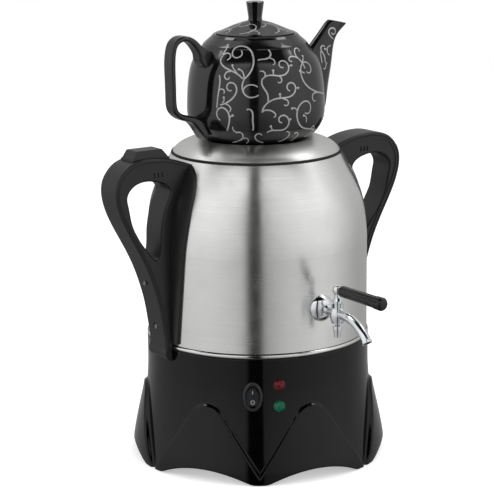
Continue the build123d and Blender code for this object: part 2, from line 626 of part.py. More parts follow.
def tap_body():
    """Shank, valve barrel with its notched collar, and bent spout, cast in one."""
    barrel_mid = (VALVE_Z[0] + VALVE_Z[1]) / 2
    shank = radial_rod(SHANK_R, 96, 113, TAP_Z) + turned_on_x(
        TAP_Z, Polyline((113, 0, 0), (113, 0, 4.2), (127, 0, 5.0), (127, 0, 0), (113, 0, 0)))
    barrel = turned(line((0, VALVE_Z[0]), (5.6, VALVE_Z[0])),
                    ThreePointArc(at(5.6, VALVE_Z[0]), at(7.0, barrel_mid), at(5.6, VALVE_Z[1])),
                    line((5.6, VALVE_Z[1]), (5.6, COLLAR_TOP_Z), (0, COLLAR_TOP_Z), (0, VALVE_Z[0])))
    start, bend = (VALVE_R, TAP_Z), (141.0, TAP_Z)
    straight = Line(at(*start), at(*bend))
    arc = TangentArc(at(*bend), at(*SPOUT_TIP), tangent=straight % 1)
    beyond = Line(arc @ 1, arc @ 1 + (arc % 1) * 3)
    mouth = Plane(origin=at(*start), z_dir=(1, 0, 0))
    spout = sweep(mouth * Circle(SPOUT_R), Wire([straight.edge(), arc.edge()]))
    bore = sweep(mouth * Circle(SPOUT_BORE), Wire([straight.edge(), arc.edge(), beyond.edge()]))
    lip_at = Plane(origin=arc @ 1, z_dir=arc % 1)
    lip = extrude(lip_at * Circle(SPOUT_R + 0.5), -2.2)
    body = shank + Pos(VALVE_R, 0, 0) * barrel + spout + lip
    body -= bore
    body -= radial_rod(WATERWAY_R, TANK_R - FAR, VALVE_R, TAP_Z)
    body -= plug_taper(RUNNING_FIT)
    notch = Pos(VALVE_R, 0, VALVE_Z[1] + 2.9) * Rot(0, 0, -45) * Pos(5, 0, 0) * Box(8, 7.6, 4)
    return face_to(0, body - notch)


def plug_taper(clearance):
    low, high = (PLUG_BOTTOM_R + clearance, VALVE_Z[0]), (PLUG_TOP_R + clearance, COLLAR_TOP_Z)
    return Pos(VALVE_R, 0, 0) * turned(line((0, low[1]), low, high, (0, high[1]), (0, low[1])))


def tap_plug():
    """The tapered plug with its cross port, closed at rest, and its threaded tail."""
    plug = plug_taper(0) + upright(PLUG_TAIL_R, VALVE_Z[0] - 12, VALVE_Z[0], x=VALVE_R)
    plug -= Pos(VALVE_R, 0, TAP_Z) * Rot(90, 0, 0) * Cylinder(PORT_R, FAR)
    plug += upright(PORT_R, COLLAR_TOP_Z, VALVE_Z[1] + 8, x=VALVE_R)
    return face_to(0, plug)


def plug_washer():
    washer = turned(line((2.1, 150.8), (4.6, 152.3), (4.6, 153.2), (2.1, 151.7), (2.1, 150.8)))
    return face_to(0, Pos(VALVE_R, 0, 0) * washer)


def plug_nut():
    nut = turned(line((2.05, 140.2), (3.0, 139.6), (3.9, 147.0), (4.4, 147.2), (4.4, 150.6), (2.05, 150.6),
                      (2.05, 140.2)))
    return face_to(0, Pos(VALVE_R, 0, 0) * nut)


def lever_arm():
    """An upright riser on the plug, a round head, and the rod inside the grip."""
    hub_z = VALVE_Z[1] + 4.8
    riser = turned(line((0, hub_z), (4.6, hub_z), (4.6, hub_z + 2.4), (2.9, hub_z + 5.2), (2.7, LEVER_Z - 3),
                        (0, LEVER_Z - 3), (0, hub_z)))
    riser -= upright(PORT_R + 0.02, TAP_Z, VALVE_Z[1] + 8.02)
    head = turned(line((0, LEVER_Z - 5), (3.4, LEVER_Z - 4)),
                  ThreePointArc(at(3.4, LEVER_Z - 4), at(4.6, LEVER_Z), at(3.0, LEVER_Z + 4)),
                  line((3.0, LEVER_Z + 4), (0, LEVER_Z + 4.6), (0, LEVER_Z - 5)))
    arm = Pos(VALVE_R, 0, 0) * (riser + head)
    return face_to(0, arm + radial_rod(LEVER_ROD_R, VALVE_R, GRIP_END - 8, LEVER_Z))


def lever_grip():
    start, neck, rod_end = VALVE_R + 6.5, GRIP_END - 11, GRIP_END - 7.9
    bore = LEVER_ROD_R + RUNNING_FIT
    belly, nose = (GRIP_END - 3, 0, GRIP_R + 0.4), (GRIP_END, 0, GRIP_R - 3.2)
    side = Polyline((start, 0, bore), (start, 0, GRIP_R - 1.2), (start + 1.5, 0, GRIP_R - 0.5),
                    (neck, 0, GRIP_R - 0.2), (neck + 0.8, 0, GRIP_R + 0.3), belly)
    tip = ThreePointArc(belly, (GRIP_END - 0.9, 0, GRIP_R - 1.2), nose)
    core = Polyline(nose, (GRIP_END, 0, 0), (rod_end, 0, 0), (rod_end, 0, bore), (start, 0, bore))
    return face_to(0, turned_on_x(LEVER_Z, side, tip, core))


def tap_washer():
    washer = radial_rod(9, 102.2, 104.2, TAP_Z) - radial_rod(SHANK_R + 0.1, TANK_R - FAR, TANK_R, TAP_Z)
    return face_to(0, washer)


def tap_locknut():
    nut = Plane(origin=(97.2, 0, TAP_Z), x_dir=(0, 1, 0), z_dir=(1, 0, 0)) * RegularPolygon(9.8, 6)
    return face_to(0, extrude(nut, 5) - radial_rod(SHANK_R + RUNNING_FIT, TANK_R - FAR, TANK_R, TAP_Z))


# ---------------------------------------------------------------- lid of the tank
def kettle_lid():
    """A pressed disc with a dished seat for the teapot, steam holes in it and a skirt below."""
    crown = curve(LID_TOP)
    under = beside(crown, -LID_T)
    rim_under = (SEAT_RIM_R - 0.7, SEAT_RIM_Z - 1.5)
    seat_under = (SEAT_R - 0.9, SEAT_Z - LID_T)
    lid = turned(crown, line(LID_TOP[-1], (SEAT_RIM_R, SEAT_RIM_Z), (SEAT_R, SEAT_Z), (0, SEAT_Z),
                             (0, SEAT_Z - LID_T), seat_under, rim_under, under[-1]),
                 curve(under[::-1]), line(under[0], LID_TOP[0]))
    lid &= upright(LID_EDGE_R + FAR, MOUTH_TOP_Z + 0.2, SEAT_RIM_Z + FAR)
    lid += upright(LID_SKIRT_R, LID_SKIRT_Z, 301.2) - upright(LID_SKIRT_R - LID_T, LID_SKIRT_Z - 8, 310)
    steam_hole = upright(STEAM_HOLE_R, SEAT_Z - FAR, SEAT_Z + FAR, x=STEAM_CIRCLE_R)
    return lid - [Rot(0, 0, i * 360 / STEAM_HOLES) * steam_hole for i in range(STEAM_HOLES)]


def lid_seal():
    ring = upright(MOUTH_R - 0.35, LID_SKIRT_Z + 1, LID_SKIRT_Z + 5)
    return ring - upright(LID_SKIRT_R, LID_SKIRT_Z, MOUTH_TOP_Z)


# ---------------------------------------------------------------- teapot
def pot_side():
    return curve(POT_SIDE, tangents=[(1, 0, 0.1), (-1, 0, 0.85)])


def pot_outside():
    return turned(line((0, POT_Z), POT_SIDE[0]), pot_side(),
                  line(POT_SIDE[-1], (POT_COLLAR_R, POT_COLLAR_Z - 0.6), (POT_COLLAR_R - 0.8, POT_COLLAR_Z),
                       (0, POT_COLLAR_Z), (0, POT_Z)))


def spout_solid(inset, beyond=0.0):
    """The spout as a loft of ellipses, from inside the pot to its lip and beyond it."""
    sections = []
    for r, z, lean, half_height, half_width in POT_SPOUT:
        flow = (cos(radians(lean)), 0, sin(radians(lean)))
        across = (-flow[2], 0, flow[0])
        sections.append(Plane(origin=at(r, z), x_dir=across, z_dir=flow)
                        * Ellipse(half_height - inset, half_width - inset))
    spout = loft(sections)
    return spout + extrude(sections[-1], beyond, dir=flow) if beyond else spout


def teapot_body():
    """The thrown pot with its seat for the lid, the way into the spout and the locking notch in the collar."""
    inner_side = beside(pot_side(), -POT_WALL)
    inner = turned(line((0, POT_Z + POT_WALL), inner_side[0]), curve(inner_side),
                   line(inner_side[-1], (0, inner_side[-1][1]), (0, POT_Z + POT_WALL)))
    body = pot_outside() - inner - spout_solid(POT_SPOUT_WALL)
    body -= upright(POT_MOUTH_R, POT_COLLAR_Z - FAR, POT_COLLAR_Z + FAR)
    body -= upright(POT_FOOT_R, POT_Z - 1, POT_Z + POT_FOOT_RISE)
    notch = upright(NOTCH_R, NOTCH_Z, POT_COLLAR_Z + 1, x=POT_SIDE[-1][0] - NOTCH_DEPTH + NOTCH_R)
    return body - face_to(NOTCH_ANGLE, notch)


def teapot_spout():
    return spout_solid(0) - pot_outside() - spout_solid(POT_SPOUT_WALL, beyond=2)


def teapot_ear():
    """A strap that flares where it is joined to the pot."""
    sections = []
    for i, (r, z, width, thickness) in enumerate(EAR):
        before, after = EAR[max(i - 1, 0)], EAR[min(i + 1, len(EAR) - 1)]
        along = (after[0] - before[0], 0, after[1] - before[1])
        sections.append(Plane(origin=at(r, z), x_dir=(0, 1, 0), z_dir=along)
                        * RectangleRounded(width, thickness, EAR_ROUND))
    return Rot(0, 0, 180) * (loft(sections) - pot_outside())


def teapot_lid():
    low = POT_COLLAR_Z + REST_GAP
    ring_top, dome_foot = (PLUG_RING_R, low + 1.4), (POT_LID_R, low + 0.9)
    crown_r, crown_z = POT_LID_DOME[-1]
    cap = turned(line(ring_top, (PLUG_RING_R, PLUG_RING_Z), (POT_MOUTH_R - 0.8, PLUG_RING_Z),
                      (POT_MOUTH_R - 0.8, low), (POT_LID_R - 0.5, low), (POT_LID_R, low + 0.5), dome_foot),
                 curve([dome_foot] + POT_LID_DOME), line((crown_r, crown_z), (0, crown_z), POT_LID_UNDER[0]),
                 curve(POT_LID_UNDER + [ring_top]))
    foot, waist, top = [Pos(0, 0, z) * RegularPolygon(r, KNOB_SIDES) for z, r in KNOB]
    knob = loft([foot, waist], ruled=True) + loft([waist, top], ruled=True)
    return cap + chamfer(knob.edges().group_by(Axis.Z)[-1], 0.8)


# ---------------------------------------------------------------- files
def handles():
    """Both handles: the left one is the right one turned half round, with a well for the lid button."""
    core, cover, well = handle_core(), handle_cover(), button_pocket()
    to_left = Rot(0, 0, 180)
    return {"handle_core_right": core, "handle_cover_right": cover,
            "handle_core_left": to_left * (core - well), "handle_cover_left": to_left * (cover - well),
            "lid_button": to_left * lid_button(), "button_spring": to_left * button_spring()}


SINGLE_PIECES = [
    base_shell, bottom_cover, rubber_feet, cover_screws, rim_bead, tank_body, tank_floor, floor_seal,
    heater_plate, heating_element, tie_bolt, tie_nut, thermostats, thermal_fuse, terminal_block,
    switch_housing, switch_rocker, lamp_bulbs, cord_gland, handle_screws,
    tap_rosette, tap_body, tap_washer, tap_locknut, tap_plug, plug_washer, plug_nut, lever_arm, lever_grip,
    kettle_lid, lid_seal, teapot_body, teapot_spout, teapot_ear, teapot_lid]


def main():
    os.makedirs("parts", exist_ok=True)
    for piece in SINGLE_PIECES:
        save(piece.__name__, piece())
    for colour, z in zip(("red", "green"), LAMP_Z):
        save(f"lamp_{colour}", lamp(z))
    for name, shape in handles().items():
        save(name, shape)


main()
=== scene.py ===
"""Dresses an electric samovar: a spun steel tank on a petalled base, with a glazed teapot on its lid."""

import json
import logging
import math
from dataclasses import dataclass
from enum import Enum

import bmesh
import bpy
from mathutils import Matrix, Vector
from mathutils.bvhtree import BVHTree


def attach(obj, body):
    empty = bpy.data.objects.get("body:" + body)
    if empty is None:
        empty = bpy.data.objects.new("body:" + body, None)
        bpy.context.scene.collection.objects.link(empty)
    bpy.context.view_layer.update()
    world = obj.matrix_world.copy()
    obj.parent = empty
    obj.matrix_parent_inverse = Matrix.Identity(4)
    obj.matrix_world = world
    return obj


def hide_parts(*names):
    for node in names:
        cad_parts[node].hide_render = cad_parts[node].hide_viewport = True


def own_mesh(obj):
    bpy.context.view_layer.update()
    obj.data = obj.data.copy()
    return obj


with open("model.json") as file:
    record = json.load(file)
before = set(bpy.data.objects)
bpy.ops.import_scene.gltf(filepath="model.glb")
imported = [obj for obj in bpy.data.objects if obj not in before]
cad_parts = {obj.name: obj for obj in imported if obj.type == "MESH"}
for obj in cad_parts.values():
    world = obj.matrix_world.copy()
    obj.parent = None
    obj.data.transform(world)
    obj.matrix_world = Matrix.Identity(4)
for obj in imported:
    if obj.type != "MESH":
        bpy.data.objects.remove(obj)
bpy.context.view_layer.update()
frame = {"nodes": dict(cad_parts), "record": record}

LOG = logging.getLogger("samovar")
MM = 0.001
UP = Vector((0, 0, 1))
BACKWARD = Vector((0, 1, 0))
# A mesh in the making: its points in millimetres, and the corner numbers of each face.
Points = list[Vector]
Faces = list[tuple[int, ...]]
# Pairs of numbers: places with their values, or points with two coordinates.
Pairs = tuple[tuple[float, float], ...]
# Point, normal and sideways direction where a stroke lies on a surface.
Station = tuple[Vector, Vector, Vector]


# ------------------------------ small tools
def linear(hex_colour: str) -> tuple[float, float, float, float]:
    """Turns an sRGB hex colour into the linear values that shaders take.

    Args:
        hex_colour: Six hex digits after a hash sign.

    Returns:
        Red, green, blue and an alpha of one.
    """
    channels = [int(hex_colour[i:i + 2], 16) / 255 for i in (1, 3, 5)]
    bright = [c / 12.92 if c <= 0.04045 else ((c + 0.055) / 1.055) ** 2.4 for c in channels]
    return (*bright, 1.0)


def add_node(tree: bpy.types.NodeTree, kind: str, inputs: dict | None = None,
             **settings: object) -> bpy.types.Node:
    """Adds a shader node with its settings, its input values and its links.

    Args:
        tree: The node tree that the node goes in.
        kind: Blender's name of the node type, without ShaderNode in front.
        inputs: For each input, by name or number, a value, an output socket to link from, or a node, which
            stands for its first output.
        settings: Attributes of the node itself.

    Returns:
        The new node.
    """
    node = tree.nodes.new("ShaderNode" + kind)
    for name, value in settings.items():
        setattr(node, name, value)
    for key, value in (inputs or {}).items():
        if isinstance(value, bpy.types.Node):
            value = value.outputs[0]
        if isinstance(value, bpy.types.NodeSocket):
            tree.links.new(value, node.inputs[key])
        else:
            node.inputs[key].default_value = value
    return node


def clear_nodes(owner: bpy.types.Material | bpy.types.World) -> bpy.types.NodeTree:
    """Gives a material or a world an empty node tree.

    Args:
        owner: The material or the world.

    Returns:
        Its node tree.
    """
    owner.use_nodes = True
    owner.node_tree.nodes.clear()
    return owner.node_tree


def add_object(name: str, data: bpy.types.ID) -> bpy.types.Object:
    """Adds an object to the scene.

    Args:
        name: The object's name.
        data: Its mesh, lamp or camera.

    Returns:
        The object.
    """
    added = bpy.data.objects.new(name, data)
    bpy.context.scene.collection.objects.link(added)
    return added


def set_ramp(node: bpy.types.Node, stops: Pairs) -> None:
    """Gives a colour ramp its grey stops.

    Args:
        node: The colour ramp node.
        stops: Position and grey value of each stop, from left to right.
    """
    elements = node.color_ramp.elements
    elements.remove(elements[1])
    elements[0].position = stops[0][0]
    for number, (position, grey) in enumerate(stops):
        element = elements.new(position) if number else elements[0]
        element.color = (grey, grey, grey, 1.0)


# ------------------------------ finishes
class Grain(Enum):
    """What the surface of a finish looks like close up."""
    SPUN = "fine lines that run round the main axis"
    PEEL = "the slow waviness of a polished moulding or a glaze"
    SPARK = "the fine pits of a spark-eroded mould"
    PLAIN = "no more than a little unevenness in the gloss"


@dataclass(frozen=True)
class Finish:
    """A real material with the way its surface was made."""
    name: str
    colour: str
    shade: str
    roughness: float
    spread: float
    grain: Grain
    grain_mm: float
    depth_mm: float
    metallic: float = 0.0
    ior: float = 1.5
    specular: float = 0.5
    anisotropic: float = 0.0
    transmission: float = 0.0
    glow: float = 0.0
    # Size of the slow clouds in its gloss and shade, and the swings of noise that they follow.
    cloud_mm: float = 22.0
    gloss_swing: tuple[float, float] = (0.6, 1.4)
    shade_swing: tuple[float, float] = (0.7, 1.3)
    # A quarter turn, so that the light spreads across lines that run round the axis.
    turned_across: float = 0.25

    def coordinates(self, tree: bpy.types.NodeTree) -> bpy.types.Node:
        """Makes the coordinates of the grain, one grain to a unit.

        Args:
            tree: The material's node tree.

        Returns:
            The node with the scaled coordinates.
        """
        place = add_node(tree, "TexCoord").outputs["Object"]
        if self.grain is Grain.SPUN:
            flat = add_node(tree, "VectorMath", {0: place, 1: (1, 1, 0)}, operation="MULTIPLY")
            radius = add_node(tree, "VectorMath", {0: flat}, operation="LENGTH").outputs["Value"]
            height = add_node(tree, "SeparateXYZ", {0: place}).outputs["Z"]
            place = add_node(tree, "CombineXYZ", {0: radius, 1: height})
        size = 1 / (self.grain_mm * MM)
        return add_node(tree, "VectorMath", {0: place, 1: (size, size, size)}, operation="MULTIPLY")

    def build(self) -> bpy.types.Material:
        """Makes the procedural material.

        Returns:
            The material, ready to assign.
        """
        material = bpy.data.materials.new(self.name)
        tree = clear_nodes(material)
        grain = add_node(tree, "TexNoise", {"Vector": self.coordinates(tree), "Scale": 1.0, "Detail": 3.0})
        cloud = add_node(tree, "TexNoise", {
            "Vector": add_node(tree, "TexCoord").outputs["Object"], "Scale": 1 / (self.cloud_mm * MM),
            "Detail": 2.0})
        both = add_node(tree, "Math", {0: grain, 1: cloud}, operation="ADD")
        rough = add_node(tree, "MapRange", {
            "Value": both, "From Min": self.gloss_swing[0], "From Max": self.gloss_swing[1],
            "To Min": self.roughness - self.spread, "To Max": self.roughness + self.spread})
        share = add_node(tree, "MapRange", {
            "Value": both, "From Min": self.shade_swing[0], "From Max": self.shade_swing[1]})
        colour = add_node(tree, "Mix", {0: share, 6: linear(self.colour), 7: linear(self.shade)},
                          data_type="RGBA")
        bump = add_node(tree, "Bump", {"Height": grain, "Strength": 1.0, "Distance": self.depth_mm * MM})
        shader = add_node(tree, "BsdfPrincipled", {
            "Base Color": colour.outputs[2], "Roughness": rough, "Metallic": self.metallic,
            "IOR": self.ior, "Specular IOR Level": self.specular, "Anisotropic": self.anisotropic,
            "Anisotropic Rotation": self.turned_across if self.anisotropic else 0.0,
            "Transmission Weight": self.transmission, "Normal": bump})
        if self.grain is Grain.SPUN:
            around = add_node(tree, "Tangent", direction_type="RADIAL", axis="Z")
            tree.links.new(around.outputs[0], shader.inputs["Tangent"])
        if self.glow:
            shader.inputs["Emission Color"].default_value = linear(self.colour)
            shader.inputs["Emission Strength"].default_value = self.glow
        add_node(tree, "OutputMaterial", {0: shader})
        return material


# Polished injection-moulded ABS: deep black with a clean mirror that waves slightly.
GLOSS_PLASTIC = Finish(
    "abs_moulded_gloss_black", "#030303", "#050505", roughness=0.07, spread=0.015,
    grain=Grain.PEEL, grain_mm=9.0, depth_mm=0.006, specular=0.28)
# The same plastic from a fine-etched mould: a soft grey sheen on the rounded edges.
SATIN_PLASTIC = Finish(
    "abs_moulded_satin_black", "#131313", "#171717", roughness=0.34, spread=0.04,
    grain=Grain.SPARK, grain_mm=0.9, depth_mm=0.010, specular=0.4)
# Phenolic resin, moulded and tumbled: black with a soft shine along the grip.
GRIP_RESIN = Finish(
    "phenolic_moulded_black", "#060606", "#090909", roughness=0.22, spread=0.04,
    grain=Grain.SPARK, grain_mm=1.2, depth_mm=0.006, specular=0.5)
# Polyamide from a lightly etched mould: black with a soft gleam on its edges.
SWITCH_PLASTIC = Finish(
    "polyamide_moulded_black", "#262728", "#1d1e1f", roughness=0.2, spread=0.03,
    grain=Grain.SPARK, grain_mm=0.9, depth_mm=0.006, specular=0.4)
# Glass-filled polypropylene, as moulded: dull and even.
MATTE_PLASTIC = Finish(
    "polypropylene_moulded_matte_black", "#1f2020", "#262727", roughness=0.55, spread=0.05,
    grain=Grain.SPARK, grain_mm=0.7, depth_mm=0.015)
# Moulded nitrile rubber: nearly no shine.
RUBBER = Finish(
    "nitrile_rubber_moulded", "#0e0e0e", "#151515", roughness=0.8, spread=0.05,
    grain=Grain.SPARK, grain_mm=0.8, depth_mm=0.02)
# Cast silicone: translucent grey-white with a greasy sheen.
SILICONE = Finish(
    "silicone_cast", "#c9c8c2", "#bdbcb6", roughness=0.45, spread=0.05,
    grain=Grain.PEEL, grain_mm=3.0, depth_mm=0.01)
# Stainless sheet spun and brushed round the axis: light spreads across the lines into fans and soft bands.
# Real lines are 0.1 mm apart. They are drawn at 0.5 mm, the finest that shows.
BRUSHED_STEEL = Finish(
    "stainless_steel_brushed", "#e6e6e4", "#dededc", roughness=0.24, spread=0.05,
    grain=Grain.SPUN, grain_mm=0.5, depth_mm=0.0012, metallic=1.0, anisotropic=0.5)
# The same sheet brushed deeper on the lid: what stands on it shows as a soft dark fan.
BRUSHED_LID = Finish(
    "stainless_steel_brushed_deep", "#e2e2e0", "#d9d9d7", roughness=0.36, spread=0.05,
    grain=Grain.SPUN, grain_mm=0.5, depth_mm=0.002, metallic=1.0, anisotropic=0.6)
# Rolled stainless bead, buffed: bright with soft edges to its reflections.
POLISHED_STEEL = Finish(
    "stainless_steel_polished", "#dededc", "#d4d4d2", roughness=0.14, spread=0.03,
    grain=Grain.PEEL, grain_mm=4.0, depth_mm=0.003, metallic=1.0)
# Bright chromium plate on cast brass: a cold mirror, faintly wavy from the casting.
CHROME = Finish(
    "chromium_plate_polished", "#e4e6e8", "#dcdfe2", roughness=0.13, spread=0.02,
    grain=Grain.PEEL, grain_mm=5.0, depth_mm=0.006, metallic=1.0)
# Zinc-plated steel: greyish, a little cloudy.
ZINC = Finish(
    "zinc_plated_steel", "#9b9fa1", "#8a8f91", roughness=0.32, spread=0.08,
    grain=Grain.PLAIN, grain_mm=2.0, depth_mm=0.004, metallic=1.0)
# Rolled aluminium: pale and soft.
ALUMINIUM = Finish(
    "aluminium_rolled", "#cfd1d2", "#c4c6c8", roughness=0.35, spread=0.06,
    grain=Grain.PLAIN, grain_mm=1.5, depth_mm=0.003, metallic=1.0)
# Turned brass: warm yellow with tool marks.
BRASS = Finish(
    "brass_turned", "#c9a35a", "#b8924a", roughness=0.28, spread=0.06,
    grain=Grain.SPUN, grain_mm=0.6, depth_mm=0.003, metallic=1.0)
# Black glaze on stoneware: deep, slightly uneven, with broad soft lights.
GLAZE = Finish(
    "stoneware_glazed_black", "#090909", "#0e0e0e", roughness=0.1, spread=0.03,
    grain=Grain.PEEL, grain_mm=5.0, depth_mm=0.006, specular=0.6)
# Fired platinum lustre: a thin grey-white metal film.
LUSTRE = Finish(
    "platinum_lustre_fired", "#b4b5b4", "#a0a1a0", roughness=0.38, spread=0.06,
    grain=Grain.PLAIN, grain_mm=0.8, depth_mm=0.004, metallic=0.6)
# Moulded acrylic, dyed through: the facets catch the light.
RED_LENS = Finish(
    "acrylic_moulded_red", "#6c0812", "#54060e", roughness=0.14, spread=0.03,
    grain=Grain.PEEL, grain_mm=4.0, depth_mm=0.004, ior=1.49, transmission=0.35, specular=0.25)
GREEN_LENS = Finish(
    "acrylic_moulded_green", "#00684a", "#00543c", roughness=0.14, spread=0.03,
    grain=Grain.PEEL, grain_mm=4.0, depth_mm=0.004, ior=1.49, transmission=0.35, glow=0.05, specular=0.25)
# Blown glass of a neon bulb.
BULB_GLASS = Finish(
    "soda_glass_blown", "#f2f2f0", "#e8e8e6", roughness=0.05, spread=0.01,
    grain=Grain.PEEL, grain_mm=3.0, depth_mm=0.002, ior=1.52, transmission=0.9)
# Paint pressed into the switch: even and matte.
MARK_PAINT = Finish(
    "pad_printed_grey_paint", "#929494", "#888a8a", roughness=0.5, spread=0.03,
    grain=Grain.PLAIN, grain_mm=1.0, depth_mm=0.002)

SLOTS: dict[str, Finish] = {
    "gloss_black_plastic": GLOSS_PLASTIC, "satin_black_plastic": SATIN_PLASTIC,
    "matte_black_plastic": MATTE_PLASTIC, "black_rubber": RUBBER, "silicone": SILICONE,
    "brushed_steel": BRUSHED_STEEL, "polished_steel": POLISHED_STEEL, "chrome": CHROME, "zinc_steel": ZINC,
    "aluminium": ALUMINIUM, "brass": BRASS, "red_lens": RED_LENS, "green_lens": GREEN_LENS,
    "bulb_glass": BULB_GLASS, "black_glaze": GLAZE,
}
# Solids whose surface differs from the rest of their slot.
OWN_FINISH: dict[str, Finish] = {
    "kettle_lid": BRUSHED_LID, "lever_grip": GRIP_RESIN,
    "switch_housing": SWITCH_PLASTIC, "switch_rocker": SWITCH_PLASTIC,
}


class Workshop:
    """Makes each material once and dresses pieces with it."""

    def __init__(self) -> None:
        """Starts with no materials made."""
        self.made: dict[str, bpy.types.Material] = {}

    def material(self, finish: Finish) -> bpy.types.Material:
        """Gives the material of a finish, making it the first time.

        Args:
            finish: The finish.

        Returns:
            Its one material.
        """
        if finish.name not in self.made:
            self.made[finish.name] = finish.build()
        return self.made[finish.name]

    def dress(self, piece: bpy.types.Object, finish: Finish) -> None:
        """Covers a whole piece with one finish."""
        piece.data.materials.clear()
        piece.data.materials.append(self.material(finish))

    def hand_over(self, piece: bpy.types.Object, finish: Finish, body: str, slot: str, *nodes: str) -> None:
        """Dresses a piece, fixes it to what it moves with and logs it.

        Args:
            piece: The piece.
            finish: Its finish.
            body: The body that it moves with.
            slot: The record's material slot that it belongs to. Not used.
            nodes: The solids that it stands for.
        """
        self.dress(piece, finish)
        if nodes:
            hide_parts(*nodes)
        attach(piece, body)
        LOG.info("%s: %d points, %s", piece.name, len(piece.data.vertices), finish.name)

    def dress_nodes(self) -> None:
        """Gives every carried-over solid the finish of its slot."""
        for entry in frame["record"]["subparts"]:
            finish = OWN_FINISH.get(entry["node"], SLOTS[entry["material_slot"]])
            self.dress(frame["nodes"][entry["node"]], finish)
            LOG.info("%s: %s", entry["node"], finish.name)


